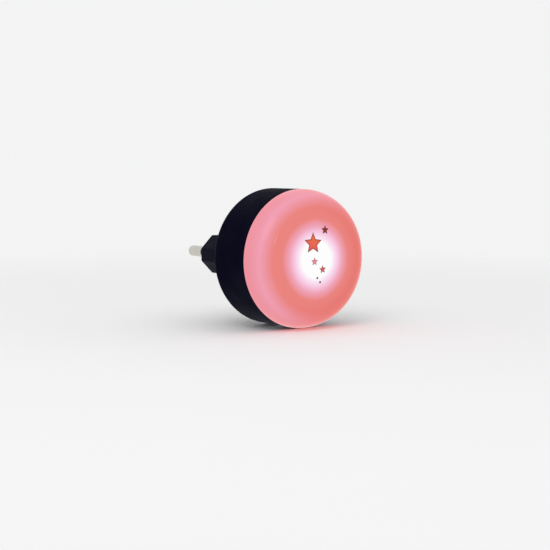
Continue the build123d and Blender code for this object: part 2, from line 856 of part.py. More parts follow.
pieces = {
    "diffuser_dome": diffuser_dome,
    "housing": housing,
    "plug_insert": plug_insert,
    "plug_pin_left": contact_pin(-pin_x),
    "plug_pin_right": contact_pin(pin_x),
    "pin_sleeve_left": pin_sleeve(-pin_x),
    "pin_sleeve_right": pin_sleeve(pin_x),
    "contact_strip_left": contact_strip(-1),
    "contact_strip_right": contact_strip(1),
    "insert_screws": insert_screws,
    "driver_board": driver_board,
    "board_screws": board_screws,
    "film_capacitor": film_capacitor,
    "smoothing_capacitor": smoothing_capacitor,
    "fusible_resistor": fusible_resistor,
    "bridge_rectifier": bridge_rectifier,
    "chip_resistors": chip_resistors,
    "link_header": link_header,
    "link_pins": link_pins,
    "reflector": reflector,
    "led_board": led_board,
    "led_bodies": led_bodies,
    "led_phosphors": led_phosphors,
    "switch_base": switch_base,
    "switch_frame": switch_frame,
    "switch_terminals": switch_terminals,
    "switch_wiper": switch_wiper,
    "switch_actuator": switch_actuator,
    "switch_knob": switch_knob,
}
for piece_name, piece in pieces.items():
    save(piece, piece_name)
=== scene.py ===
import math

import bmesh
import bpy
from mathutils import Matrix, Vector
from mathutils.bvhtree import BVHTree


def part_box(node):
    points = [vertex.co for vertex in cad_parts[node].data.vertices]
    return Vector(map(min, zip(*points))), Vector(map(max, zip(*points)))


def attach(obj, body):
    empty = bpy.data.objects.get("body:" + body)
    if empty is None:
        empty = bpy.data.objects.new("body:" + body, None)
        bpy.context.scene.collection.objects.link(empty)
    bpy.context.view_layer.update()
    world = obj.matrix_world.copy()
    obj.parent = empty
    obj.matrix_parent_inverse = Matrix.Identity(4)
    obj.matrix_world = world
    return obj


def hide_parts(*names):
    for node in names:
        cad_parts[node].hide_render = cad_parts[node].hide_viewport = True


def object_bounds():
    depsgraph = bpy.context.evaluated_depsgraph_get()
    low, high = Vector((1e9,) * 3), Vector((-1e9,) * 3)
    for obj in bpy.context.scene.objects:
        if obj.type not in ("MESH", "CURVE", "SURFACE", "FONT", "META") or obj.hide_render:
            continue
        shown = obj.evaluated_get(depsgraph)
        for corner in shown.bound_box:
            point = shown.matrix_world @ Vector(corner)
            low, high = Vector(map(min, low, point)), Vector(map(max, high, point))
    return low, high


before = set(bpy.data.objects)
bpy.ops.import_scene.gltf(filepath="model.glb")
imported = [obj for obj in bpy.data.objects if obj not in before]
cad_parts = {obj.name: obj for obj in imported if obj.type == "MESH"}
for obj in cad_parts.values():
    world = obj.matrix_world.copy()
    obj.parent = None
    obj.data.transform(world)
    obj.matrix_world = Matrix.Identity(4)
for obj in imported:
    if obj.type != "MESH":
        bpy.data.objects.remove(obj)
cad_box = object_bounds()

bl_info = {
    "name": "Plug-in night light",
    "version": (1, 0, 0),
    "blender": (4, 5, 0),
    "location": "View3D > Sidebar > Night light",
    "description": "Finishes the solids of a round plug-in night light and adds its print, solder and screws",
    "category": "Object",
}

# Lengths are in metres, as in the frame. The lamp's axis is Y, and -Y points into the room.
MM = 0.001
LAMP_BODY = "lamp"
EDGE_ATTRIBUTE = "ink_edge"
INTO_ROOM = Vector((0, -1, 0))
WALL_SIDE = -INTO_ROOM
LAMP_AXIS = (0, 1, 0)
UPRIGHT = (0, 0, 1)
# Vertices closer to each other than this are made one.
WELD = 0.0005 * MM
# The roughness of rubbed plastic as a share of the clean plastic's.
RUBBED = 0.7

dome_low, dome_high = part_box("diffuser_dome")
housing_low, housing_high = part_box("housing")
board_low, board_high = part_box("driver_board")
light_board_low, light_board_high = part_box("led_board")
knob_low, knob_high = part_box("switch_knob")


def linear(red, green, blue):
    """A screen colour from 0 to 255 as the linear colour that Blender works in."""
    return tuple((level / 255) ** 2.2 for level in (red, green, blue))


def colour_property(name, description, colour):
    """A colour that a user can change in the panel."""
    return bpy.props.FloatVectorProperty(
        name=name, description=description, default=colour, size=3, subtype="COLOR", min=0, max=1
    )


def number_property(name, description, default, **options):
    """A number of 0 or more that a user can change in the panel."""
    return bpy.props.FloatProperty(name=name, description=description, default=default, min=0, **options)


def length_property(name, description, default):
    """A length in metres that a user can change in the panel."""
    return number_property(name, description, default, unit="LENGTH", precision=5)


def share_property(name, description, default):
    """A share from 0 to 1 that a user can change in the panel."""
    return number_property(name, description, default, max=1, subtype="FACTOR")


def angle_property(name, description, degrees):
    """An angle that a user can change in the panel."""
    return bpy.props.FloatProperty(
        name=name, description=description, default=math.radians(degrees), subtype="ANGLE"
    )


def place_property(name, description, place):
    """A place in the frame that a user can change in the panel."""
    return bpy.props.FloatVectorProperty(
        name=name, description=description, default=place, size=3, subtype="XYZ", unit="LENGTH"
    )


class GlowSettings(bpy.types.PropertyGroup):
    """Colours of the lit diffuser, from its axis outwards, and how strongly it glows."""

    core: colour_property("Core", "Middle of the face, right over the emitters", (1.0, 1.0, 1.0))
    halo: colour_property("Halo", "Soft edge of the core", linear(252, 228, 244))
    veil: colour_property("Veil", "Pink round the halo", linear(248, 200, 226))
    blush: colour_property("Blush", "Last of the glow before the face", linear(241, 162, 184))
    # Deep, Shoulder, Rim and Shoulder radius set painted light and shade: the shoulder and rim are paler and
    # pinker at the upper left as painted light from the room, and the deep colour darkens the face and
    # shoulder at the lower right as painted shade.
    face: colour_property("Face", "Outer part of the face", linear(235, 128, 123))
    painted_shade_side: colour_property("Deep", "Face and shoulder at the lower right", linear(232, 116, 109))
    shoulder: colour_property("Shoulder", "Round shoulder at the upper left", linear(241, 156, 177))
    rim: colour_property("Rim", "Edge that meets the drum", linear(236, 136, 145))
    core_radius: length_property("Core radius", "Radius of the plain white core", 6.2 * MM)
    halo_radius: length_property("Halo radius", "Radius at which the halo has its own colour", 7.6 * MM)
    veil_radius: length_property("Veil radius", "Radius at which the veil has its own colour", 9.2 * MM)
    blush_radius: length_property("Blush radius", "Radius at which the blush has its own colour", 11.2 * MM)
    face_radius: length_property("Face radius", "Radius at which the glow has faded into the face", 14.0 * MM)
    shoulder_radius: length_property("Shoulder radius", "Radius at which the shoulder is palest", 21.6 * MM)
    own_light: share_property("Own light", "Share of the brightness that comes from the lamp itself", 0.8)
    thrown_back: share_property("Thrown back", "Share of the room's light that is thrown back", 0.2)
    left_of_axis: length_property("Left of axis", "How far the glow lies to the left of the axis", 0.7 * MM)
    above_axis: length_property("Above axis", "How far the glow lies above the axis", 0.3 * MM)


class DomeSettings(bpy.types.PropertyGroup):
    """The diffuser's half-section: a rim band, two shoulder arcs and a shallow crown."""

    wall: length_property("Wall", "Thickness of the dome's wall", 1.8 * MM)
    rim_band: length_property("Rim band", "Height of the straight band at the rim", 0.4 * MM)
    rim_bevel: length_property("Rim bevel", "Width of the bevel where the dome meets the drum", 0.2 * MM)
    side_radius: length_property("Side arc", "Radius of the arc next to the rim band", 11.0 * MM)
    corner_radius: length_property("Corner arc", "Radius of the arc next to the crown", 6.4 * MM)
    side_turn: angle_property("Side turn", "Angle through which the side arc turns", 30)
    crown_start: angle_property("Crown start", "Slope at which the crown takes over from the corner arc", 84)
    lip_wall: length_property("Lip wall", "Thickness of the drum's lip round the tongue", 0.9 * MM)
    tongue_gap: length_property("Tongue gap", "Clearance between the tongue and the drum's lip", 0.05 * MM)
    snap_count: bpy.props.IntProperty(
        name="Snap beads", description="How many snap beads the tongue has", default=4, min=1
    )
    snap_turn: angle_property("Snap turn", "Angle over which each snap bead runs", 20)
    snap_height: length_property("Snap height", "How far the snap beads stand out", 0.3 * MM)
    snap_width: length_property("Snap width", "Width of a snap bead along the axis", 0.7 * MM)
    snap_place: length_property("Snap place", "Distance of the snap beads from the drum's rim", 1.2 * MM)


class PrintSettings(bpy.types.PropertyGroup):
    """Sizes and ink colours of the stars printed on the diffuser."""

    large_radius: length_property("Large star", "Radius to the tips of the large star", 3.8 * MM)
    small_radius: length_property("Small stars", "Radius to the tips of the small stars", 1.5 * MM)
    dot_radius: length_property("Dots", "Radius of the two dots", 0.38 * MM)
    ink_thickness: length_property("Ink thickness", "Height of the ink above the diffuser", 0.02 * MM)
    tip_round: length_property("Tip rounding", "Width of the rounding at each star tip", 0.1 * MM)
    waist: share_property("Waist", "Inner radius of a star as a share of its outer radius", 0.47)
    edge_start: share_property("Edge start", "Share of a star's size at which its dark edge starts", 0.62)
    edge_shade: share_property("Edge shade", "Brightness of a star's edge as a share of its middle", 0.3)
    orange: colour_property("Orange ink", "Top of the large star", linear(232, 106, 56))
    red: colour_property("Red ink", "Foot of the large star and of the lower small star", linear(228, 88, 84))
    brown: colour_property("Brown ink", "Ink of the upper small star", linear(122, 42, 6))
    rose: colour_property("Rose ink", "Foot of the middle small star", linear(234, 138, 154))
    coral: colour_property("Coral ink", "Top of the middle small star", linear(224, 124, 134))
    wine: colour_property("Wine ink", "Top of the lower small star", linear(176, 84, 84))
    plum: colour_property("Plum ink", "Ink of the two dots", linear(74, 44, 70))


class BodySettings(bpy.types.PropertyGroup):
    """Colours of the plastic parts that show from outside."""

    drum: colour_property("Drum", "Dark plastic of the housing", linear(7, 6, 28))
    plug: colour_property("Plug", "Dark plastic of the plug boss", linear(9, 8, 28))
    sleeve: colour_property("Sleeves", "Insulating sleeves of the pins", linear(28, 28, 30))
    pin: colour_property("Pins", "Nickel plating of the pins", linear(205, 202, 194))
    knob: colour_property("Knob", "Plastic of the switch knob", linear(196, 196, 198))
    mark: colour_property("Marks", "Paint of the marks beside the switch", linear(190, 190, 196))


class DetailSettings(bpy.types.PropertyGroup):
    """Sizes of the small details that the solids leave out."""

    joint_spread: length_property("Solder spread", "How far solder spreads from a lead", 0.5 * MM)
    joint_height: length_property("Solder height", "Height of a solder joint", 0.6 * MM)
    lead_radius: length_property("Lead radius", "Radius of a component's round lead", 0.37 * MM)
    pin_radius: length_property("Pin radius", "Radius round a square pin or a flat terminal", 0.46 * MM)
    strip_stretch: number_property("Strip stretch", "Length of a strip's joint as a share of its width", 2.1)
    insert_core: length_property("Insert screw core", "Core radius of the plug insert's screws", 0.72 * MM)
    board_core: length_property("Board screw core", "Core radius of the board's screws", 0.8 * MM)
    head_height: length_property("Head height", "Height of a screw's head", 1.4 * MM)
    thread_pitch: length_property("Thread pitch", "Pitch of the screws' threads", 0.7 * MM)
    thread_height: length_property("Thread height", "Height of the thread above the core", 0.22 * MM)
    recess_width: length_property("Cross width", "Width of the cross recess's slots", 0.6 * MM)
    recess_depth: length_property("Cross depth", "Depth of the cross recess", 0.8 * MM)
    rating_place: length_property("Rating place", "Distance of the rating from the axis", 12.5 * MM)
    rating_height: length_property("Rating height", "Height of the rating's letters", 1.7 * MM)
    ink_relief: length_property("Ink relief", "How far printed ink stands proud", 0.02 * MM)
    mark_place: length_property("Mark place", "Distance of each mark from the middle of the slot", 5.4 * MM)
    mark_height: length_property("Mark height", "Height of the marks beside the switch", 1.9 * MM)
    mark_stroke: length_property("Mark stroke", "Width of the marks' strokes", 0.3 * MM)
    mark_relief: length_property("Mark relief", "How far the marks stand proud", 0.06 * MM)


class StageSettings(bpy.types.PropertyGroup):
    """Floor, background, lights and camera."""

    floor: colour_property("Floor", "Colour of the floor", (0.97, 0.97, 0.975))
    floor_fade: length_property("Floor fade", "Distance at which the floor is like the background", 0.4)
    background: colour_property("Background", "What the camera sees past the floor", (0.90, 0.90, 0.905))
    sky_level: number_property("Sky level", "Strength of the even light from all round", 0.8)
    key_power: number_property("Key power", "Power of the soft light", 1.1, unit="POWER")
    key_size: length_property("Key size", "Diameter of the soft light", 0.5)
    key_place: place_property("Key place", "Where the soft light stands", (-0.5, -0.35, 0.55))
    spark_power: number_property("Spark power", "Power of the light that glints", 0.14, unit="POWER")
    spark_size: length_property("Spark size", "Diameter of the small light", 0.08)
    spark_place: place_property("Spark place", "Where the small light stands", (0.1, -0.78, 0.11))
    lens: number_property("Lens", "Focal length of the camera", 82.4, subtype="DISTANCE_CAMERA")
    place: place_property("Camera place", "Where the camera stands", (-0.2618, -0.3650, 0.0338))
    turn: angle_property("Camera turn", "Turn to the right from looking at the wall", 35.98)
    tilt: angle_property("Camera tilt", "Tilt below the horizon", 5.21)


# Shader helpers


def set_input(tree, socket, value):
    """Link a socket to an input, or write a plain value there."""
    if isinstance(value, bpy.types.NodeSocket):
        tree.links.new(value, socket)
    else:
        socket.default_value = value


def add_node(tree, kind, inputs=(), **settings):
    """Add a node, set its options and fill its inputs, each a value or another node's socket."""
    node = tree.nodes.new(kind)
    for option, value in settings.items():
        setattr(node, option, value)
    for socket, value in dict(inputs).items():
        set_input(tree, node.inputs[socket], value)
    return node


def connect(tree, node, socket, source):
    """Feed one of a node's inputs from another node's output."""
    tree.links.new(source, node.inputs[socket])


def calculate(tree, operation, *values, clamp=False):
    """The result of one Math node."""
    node = add_node(tree, "ShaderNodeMath", enumerate(values), operation=operation, use_clamp=clamp)
    return node.outputs["Value"]


def calculate_vector(tree, operation, *vectors, result="Vector"):
    """The result of one Vector Math node."""
    node = add_node(tree, "ShaderNodeVectorMath", enumerate(vectors), operation=operation)
    return node.outputs[result]


def scale_colour(tree, colour, factor):
    """A colour made brighter or darker by a factor."""
    node = add_node(tree, "ShaderNodeVectorMath", {0: colour, "Scale": factor}, operation="SCALE")
    return node.outputs["Vector"]


def fade(tree, value, start, end, low=0.0, high=1.0):
    """A smooth step from one value to another while the input goes from start to end."""
    inputs = {"Value": value, "From Min": start, "From Max": end, "To Min": low, "To Max": high}
    node = add_node(tree, "ShaderNodeMapRange", inputs, interpolation_type="SMOOTHSTEP")
    return node.outputs["Result"]


def mix_colours(tree, amount, first, second):
    """The result of one Mix node on two colours."""
    node = add_node(tree, "ShaderNodeMix", data_type="RGBA")
    set_input(tree, node.inputs["Factor"], amount)
    set_input(tree, node.inputs["A"], as_socket_colour(first))
    set_input(tree, node.inputs["B"], as_socket_colour(second))
    return node.outputs["Result"]


def as_socket_colour(colour):
    """A plain colour with the alpha that sockets want, and a linked socket as it is."""
    return colour if isinstance(colour, bpy.types.NodeSocket) else (*colour, 1.0)


def shader_group(name, inputs, outputs):
    """A new node group with the given sockets; return its tree, its input node and its output node."""
    tree = bpy.data.node_groups.new(name, "ShaderNodeTree")
    for socket, kind, default in inputs:
        made = tree.interface.new_socket(socket, in_out="INPUT", socket_type=kind)
        made.default_value = default
    for socket, kind in outputs:
        tree.interface.new_socket(socket, in_out="OUTPUT", socket_type=kind)
    return tree, tree.nodes.new("NodeGroupInput"), tree.nodes.new("NodeGroupOutput")


def place_group(tree, name, inputs=()):
    """Use a shared group in a material."""
    node = add_node(tree, "ShaderNodeGroup", node_tree=bpy.data.node_groups[name])
    for socket, value in dict(inputs).items():
        is_colour = node.inputs[socket].type == "RGBA"
        set_input(tree, node.inputs[socket], as_socket_colour(value) if is_colour else value)
    return node


def object_point(tree):
    """The surface point in the lamp's frame, in metres."""
    return add_node(tree, "ShaderNodeTexCoord").outputs["Object"]


def distance_from_axis(tree, point, across):
    """How far a point is from an axis, given as a vector that is 0 along it and 1 across it."""
    return calculate_vector(tree, "LENGTH", calculate_vector(tree, "MULTIPLY", point, across), result="Value")


def noise(tree, point, feature, detail=3.0, roughness=0.55):
    """Cloudy noise whose features have about this size."""
    scale = calculate(tree, "DIVIDE", 1.0, feature)
    inputs = {"Vector": point, "Scale": scale, "Detail": detail, "Roughness": roughness}
    return add_node(tree, "ShaderNodeTexNoise", inputs).outputs["Fac"]


# Shared effects


def make_moulded_grain():
    """Fine spark-eroded texture of moulded plastic, with a faint waviness under it."""
    tree, given, result = shader_group(
        "moulded_grain",
        [("Grain Size", "NodeSocketFloat", 0.2 * MM), ("Waviness", "NodeSocketFloat", 0.2)],
        [("Height", "NodeSocketFloat"), ("Roughness Shift", "NodeSocketFloat")],
    )
    point = object_point(tree)
    fine = noise(tree, point, given.outputs["Grain Size"])
    broad = noise(tree, point, calculate(tree, "MULTIPLY", given.outputs["Grain Size"], 30.0), detail=1.0)
    waves = calculate(tree, "MULTIPLY", broad, given.outputs["Waviness"])
    connect(tree, result, "Height", calculate(tree, "ADD", fine, waves))
    shift = calculate(tree, "MULTIPLY", calculate(tree, "SUBTRACT", broad, 0.5), 0.25)
    connect(tree, result, "Roughness Shift", shift)


def make_handling():
    """Smudges and rubbed patches from being held: they change the colour and the gloss."""
    tree, given, result = shader_group(
        "handling",
        [
            ("Clean Colour", "NodeSocketColor", (0.5, 0.5, 0.5, 1)),
            ("Rubbed Colour", "NodeSocketColor", (0.6, 0.6, 0.6, 1)),
            ("Clean Roughness", "NodeSocketFloat", 0.5),
            ("Rubbed Roughness", "NodeSocketFloat", 0.35),
            ("Amount", "NodeSocketFloat", 0.5),
            ("Patch Size", "NodeSocketFloat", 8 * MM),
        ],
        [("Colour", "NodeSocketColor"), ("Roughness", "NodeSocketFloat")],
    )
    point = object_point(tree)
    cloud = noise(tree, point, given.outputs["Patch Size"], detail=4.0)
    patches = fade(tree, cloud, start=0.45, end=0.7)
    streaks = noise(tree, point, calculate(tree, "DIVIDE", given.outputs["Patch Size"], 12.0), detail=2.0)
    streaked = calculate(tree, "MULTIPLY", patches, streaks)
    rubbed = calculate(tree, "MULTIPLY", streaked, given.outputs["Amount"])
    colour = mix_colours(tree, rubbed, given.outputs["Clean Colour"], given.outputs["Rubbed Colour"])
    connect(tree, result, "Colour", colour)
    inputs = {
        "Value": rubbed,
        "To Min": given.outputs["Clean Roughness"],
        "To Max": given.outputs["Rubbed Roughness"],
    }
    connect(tree, result, "Roughness", add_node(tree, "ShaderNodeMapRange", inputs).outputs["Result"])


def make_drawn_metal():
    """Fine lines and cloudy tarnish of rolled, drawn or plated metal."""
    tree, given, result = shader_group(
        "drawn_metal",
        [
            ("Bright Colour", "NodeSocketColor", (0.6, 0.6, 0.6, 1)),
            ("Tarnish Colour", "NodeSocketColor", (0.4, 0.4, 0.4, 1)),
            ("Line Direction", "NodeSocketVector", (1.0, 0.05, 1.0)),
            ("Line Width", "NodeSocketFloat", 0.1 * MM),
            ("Tarnish", "NodeSocketFloat", 0.4),
            ("Roughness", "NodeSocketFloat", 0.3),
        ],
        [("Colour", "NodeSocketColor"), ("Roughness", "NodeSocketFloat"), ("Height", "NodeSocketFloat")],
    )
    point = object_point(tree)
    stretched = calculate_vector(tree, "MULTIPLY", point, given.outputs["Line Direction"])
    lines = noise(tree, stretched, given.outputs["Line Width"], detail=2.0)
    clouds = fade(tree, noise(tree, point, 2.5 * MM, detail=4.0), start=0.4, end=0.75)
    tarnish = calculate(tree, "MULTIPLY", clouds, given.outputs["Tarnish"])
    colour = mix_colours(tree, tarnish, given.outputs["Bright Colour"], given.outputs["Tarnish Colour"])
    lined = calculate(tree, "MULTIPLY", calculate(tree, "SUBTRACT", lines, 0.5), 0.2)
    cloudy = calculate(tree, "MULTIPLY", tarnish, 0.3)
    rough = calculate(tree, "ADD", given.outputs["Roughness"], lined)
    rough = calculate(tree, "ADD", rough, cloudy, clamp=True)
    connect(tree, result, "Colour", colour)
    connect(tree, result, "Roughness", rough)
    connect(tree, result, "Height", lines)


def make_band():
    """A soft-edged band: 1 between two places along a value, and 0 outside."""
    tree, given, result = shader_group(
        "band",
        [
            ("Value", "NodeSocketFloat", 0.0),
            ("Start", "NodeSocketFloat", 0.0),
            ("End", "NodeSocketFloat", 1.0),
            ("Softness", "NodeSocketFloat", 0.05 * MM),
        ],
        [("Mask", "NodeSocketFloat")],
    )
    soft = given.outputs["Softness"]
    past_start = calculate(tree, "SUBTRACT", given.outputs["Value"], given.outputs["Start"])
    before_end = calculate(tree, "SUBTRACT", given.outputs["End"], given.outputs["Value"])
    rise = calculate(tree, "DIVIDE", past_start, soft, clamp=True)
    fall = calculate(tree, "DIVIDE", before_end, soft, clamp=True)
    connect(tree, result, "Mask", calculate(tree, "MULTIPLY", rise, fall))


def make_axis_radius():
    """Distance of the surface point from the lamp's axis, or from a line beside it."""
    tree, given, result = shader_group(
        "axis_radius",
        [("Unevenness", "NodeSocketFloat", 0.0), ("Line Place", "NodeSocketVector", (0.0, 0.0, 0.0))],
        [("Radius", "NodeSocketFloat")],
    )
    point = calculate_vector(tree, "SUBTRACT", object_point(tree), given.outputs["Line Place"])
    radius = distance_from_axis(tree, point, across=(1.0, 0.0, 1.0))
    cloud = calculate(tree, "SUBTRACT", noise(tree, point, 9 * MM, detail=1.0), 0.5)
    uneven = calculate(tree, "MULTIPLY", cloud, given.outputs["Unevenness"])
    connect(tree, result, "Radius", calculate(tree, "ADD", radius, uneven))


def make_shared_effects():
    """Build every group that more than one material uses."""
    make_moulded_grain()
    make_handling()
    make_drawn_metal()
    make_band()
    make_axis_radius()


# Materials


def new_material(name, **uniform):
    """A material with a Principled shader; the uniform values go straight on its sockets."""
    material = bpy.data.materials.new(name)
    material.use_nodes = True
    tree = material.node_tree
    shader = tree.nodes["Principled BSDF"]
    for socket, value in uniform.items():
        title = socket.replace("_", " ").title().replace("Ior", "IOR")
        shader.inputs[title].default_value = value
    return material, tree, shader


def bump(tree, shader, height, depth):
    """Raise the surface by a height map, whose full range is this deep."""
    node = add_node(tree, "ShaderNodeBump", {"Height": height, "Distance": depth, "Strength": 1.0})
    connect(tree, shader, "Normal", node.outputs["Normal"])


def grainy_gloss(tree, shader, worn, texture, depth):
    """Give a shader the gloss of its smudges and the relief of its grain."""
    total = calculate(tree, "ADD", worn.outputs["Roughness"], texture.outputs["Roughness Shift"], clamp=True)
    connect(tree, shader, "Roughness", total)
    bump(tree, shader, texture.outputs["Height"], depth)


def moulded_plastic(name, colour, rubbed, roughness=0.5, grain=0.2 * MM, depth=0.008 * MM, amount=0.6,
                    **uniform):
    """A moulded plastic: eroded grain, and smudges that shine a little more."""
    material, tree, shader = new_material(name, **uniform)
    texture = place_group(tree, "moulded_grain", {"Grain Size": grain})
    worn = place_group(tree, "handling", {
        "Clean Colour": colour,
        "Rubbed Colour": rubbed,
        "Clean Roughness": roughness,
        "Rubbed Roughness": RUBBED * roughness,
        "Amount": amount,
    })
    connect(tree, shader, "Base Color", worn.outputs["Colour"])
    grainy_gloss(tree, shader, worn, texture, depth)
    return material


def metal(name, bright, tarnished, direction=(1.0, 0.05, 1.0), line=0.1 * MM, tarnish=0.4, roughness=0.3,
          depth=0.003 * MM):
    """A bare or plated metal with fine lines along one direction."""
    material, tree, shader = new_material(name, metallic=1.0)
    finish = place_group(tree, "drawn_metal", {
        "Bright Colour": bright,
        "Tarnish Colour": tarnished,
        "Line Direction": direction,
        "Line Width": line,
        "Tarnish": tarnish,
        "Roughness": roughness,
    })
    connect(tree, shader, "Base Color", finish.outputs["Colour"])
    connect(tree, shader, "Roughness", finish.outputs["Roughness"])
    bump(tree, shader, finish.outputs["Height"], depth)
    return material


def ramp_over_radius(tree, share, stops):
    """A colour ramp whose stops are given as radii from the lamp's axis."""
    ramp = add_node(tree, "ShaderNodeValToRGB", {"Fac": share})
    elements = ramp.color_ramp.elements
    while len(elements) < len(stops):
        elements.new(1.0)
    for element, (place, colour) in zip(elements, stops):
        element.position = place / housing_high.x
        element.color = (*colour, 1.0)
    return ramp.outputs["Color"]


def glow_colour(tree, glow):
    """The lit diffuser's colour: bright over the emitters, with the shoulder paler at the upper left as
    painted light and deeper at the lower right as painted shade.
    """
    centre = (-glow.left_of_axis, 0.0, glow.above_axis)
    line = place_group(tree, "axis_radius", {"Unevenness": 0.6 * MM, "Line Place": centre})
    share = calculate(tree, "DIVIDE", line.outputs["Radius"], housing_high.x, clamp=True)
    middle = [
        (glow.core_radius, glow.core),
        (glow.halo_radius, glow.halo),
        (glow.veil_radius, glow.veil),
        (glow.blush_radius, glow.blush),
        (glow.face_radius, glow.face),
    ]
    # The pale ramp paints room light onto the shoulder and rim; the other ramp paints shade on the outer face
    # and shoulder.
    face_end = 0.5 * (glow.face_radius + glow.shoulder_radius)
    shoulder = [(glow.shoulder_radius, glow.shoulder), (housing_high.x, glow.rim)]
    pale = ramp_over_radius(tree, share, [*middle, (face_end, glow.face), *shoulder])
    painted_shade_side = ramp_over_radius(tree, share, [*middle, (face_end, glow.painted_shade_side)])
    # Painted light and shade: the pale copy shows towards the upper left, the darker copy towards the lower
    # right.
    painted_light_direction = (-0.95, 0.0, 0.31)
    toward_painted_light = calculate_vector(tree, "DOT_PRODUCT", object_point(tree), painted_light_direction, result="Value")
    return mix_colours(tree, fade(tree, toward_painted_light, start=-16 * MM, end=15 * MM), painted_shade_side, pale)


def opal_diffuser(glow):
    """Satin opal plastic that is lit from behind."""
    material, tree, shader = new_material(
        "lit_opal", emission_strength=glow.own_light, specular_ior_level=0.12, coat_weight=0.3,
        coat_roughness=0.13,
    )
    # This colour, used for both base and emission, carries the painted light and shade of the shoulder.
    colour = glow_colour(tree, glow)
    cloud = noise(tree, object_point(tree), 5 * MM, detail=3.0)
    mottled = fade(tree, cloud, start=0.2, end=0.8, low=0.96, high=1.04)
    reflected = calculate(tree, "MULTIPLY", mottled, glow.thrown_back)
    connect(tree, shader, "Base Color", scale_colour(tree, colour, reflected))
    connect(tree, shader, "Emission Color", colour)
    texture = place_group(tree, "moulded_grain", {"Grain Size": 0.12 * MM, "Waviness": 0.5})
    worn = place_group(tree, "handling", {
        "Clean Roughness": 0.34, "Rubbed Roughness": 0.26, "Amount": 0.8, "Patch Size": 7 * MM,
    })
    grainy_gloss(tree, shader, worn, texture, depth=0.002 * MM)
    return material


def printed_ink(name, upper, lower, middle, reach, glow, settings):
    """Pad-printed ink that the lamp shines through, shaded from top to foot and darker at its thick edge."""
    material, tree, shader = new_material(name, roughness=0.45, emission_strength=0.6, specular_ior_level=0.2)
    point = object_point(tree)
    height = add_node(tree, "ShaderNodeSeparateXYZ", {0: point}).outputs["Z"]
    colour = mix_colours(tree, fade(tree, height, middle - reach, middle + reach), lower, upper)
    cloud = noise(tree, point, 0.5 * MM, detail=4.0)
    thin = fade(tree, cloud, start=0.35, end=0.75, high=0.12)
    edge = add_node(tree, "ShaderNodeAttribute", attribute_name=EDGE_ATTRIBUTE).outputs["Fac"]
    shade = fade(tree, edge, settings.edge_start, 1.0, low=1.0, high=settings.edge_shade)
    lit = scale_colour(tree, mix_colours(tree, thin, colour, glow.face), shade)
    connect(tree, shader, "Emission Color", lit)
    connect(tree, shader, "Base Color", scale_colour(tree, lit, 0.45))
    return material


# Mesh helpers


def dress(material, *nodes):
    """Give carried-over solids their material."""
    for node in nodes:
        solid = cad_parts[node]
        solid.data.materials.clear()
        solid.data.materials.append(material)


def new_object(name, shape):
    """Turn a bmesh into an object of the scene; the bmesh is used up."""
    mesh = bpy.data.meshes.new(name)
    shape.to_mesh(mesh)
    shape.free()
    made = bpy.data.objects.new(name, mesh)
    bpy.context.scene.collection.objects.link(made)
    return made


def add_piece(name, shape, material, stands_for=(), smooth_angle=40.0):
    """Turn a bmesh into a finished piece that rides on the lamp's fixed body."""
    bmesh.ops.remove_doubles(shape, verts=shape.verts, dist=WELD)
    bmesh.ops.recalc_face_normals(shape, faces=shape.faces)
    piece = new_object(name, shape)
    piece.data.materials.append(material)
    piece.data.shade_smooth()
    piece.data.set_sharp_from_angle(angle=math.radians(smooth_angle))
    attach(piece, LAMP_BODY)
    if stands_for:
        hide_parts(*stands_for)


def merge(shape, part):
    """Add one bmesh to another; the added one is used up."""
    mesh = bpy.data.meshes.new("part")
    part.to_mesh(mesh)
    part.free()
    shape.from_mesh(mesh)
    bpy.data.meshes.remove(mesh)


def turn_round(shape, axis, steps):
    """Spin a profile a full turn round an axis through the origin, and weld its poles."""
    bmesh.ops.spin(
        shape, geom=shape.verts[:] + shape.edges[:], cent=(0, 0, 0), axis=axis, angle=math.tau, steps=steps,
        use_merge=True,
    )
    bmesh.ops.remove_doubles(shape, verts=shape.verts, dist=WELD)


def turn_part(shape, profile, axis, angle, steps, **rise):
    """Turn a flat profile's vertices into a closed solid by a turn that may rise along its axis."""
    face = shape.faces.new(profile)
    bmesh.ops.spin(
        shape, geom=[face, *face.edges, *profile], cent=(0, 0, 0), axis=axis, angle=angle, steps=steps, **rise
    )


def turned(points, steps=48):
    """A solid of revolution round Z from its half-section's points, each a radius and a height."""
    shape = bmesh.new()
    verts = [shape.verts.new((radius, 0, height)) for radius, height in points]
    for pair in zip(verts, verts[1:]):
        shape.edges.new(pair)
    turn_round(shape, UPRIGHT, steps)
    bmesh.ops.recalc_face_normals(shape, faces=shape.faces)
    return shape


def draw_arc(shape, start, centre, axis, angle, steps):
    """Continue a profile from a vertex along an arc; return the arc's last vertex."""
    made = bmesh.ops.spin(shape, geom=[start], cent=centre, axis=axis, angle=angle, steps=steps)
    return made["geom_last"][0]


def thicken(shape, vector):
    """Make a flat outline a solid by extruding its faces along a vector."""
    made = bmesh.ops.extrude_face_region(shape, geom=shape.faces[:])["geom"]
    moved = [item for item in made if isinstance(item, bmesh.types.BMVert)]
    bmesh.ops.translate(shape, verts=moved, vec=vector)


def about(axis, degrees):
    """A turn of this many degrees about one of the frame's axes."""
    return Matrix.Rotation(math.radians(degrees), 4, axis)


def surface_of(node):
    """A search tree over a solid's faces."""
    shape = bmesh.new()
    shape.from_mesh(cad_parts[node].data)
    return BVHTree.FromBMesh(shape)


def tips_of(node, direction, apart=1.5 * MM, reach=0.05 * MM):
    """The middle of each separate tip of a solid that lies furthest along a direction."""
    points = [vertex.co.copy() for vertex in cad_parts[node].data.vertices]
    furthest = max(point.dot(direction) for point in points)
    tips = []
    for point in (point for point in points if point.dot(direction) > furthest - reach):
        near = next((tip for tip in tips if (tip[0] - point).length < apart), None)
        if near is None:
            tips.append([point])
        else:
            near.append(point)
    middles = []
    for tip in tips:
        low = Vector(map(min, zip(*tip)))
        high = Vector(map(max, zip(*tip)))
        middles.append((low + high) / 2)
    return middles


# Diffuser and its print


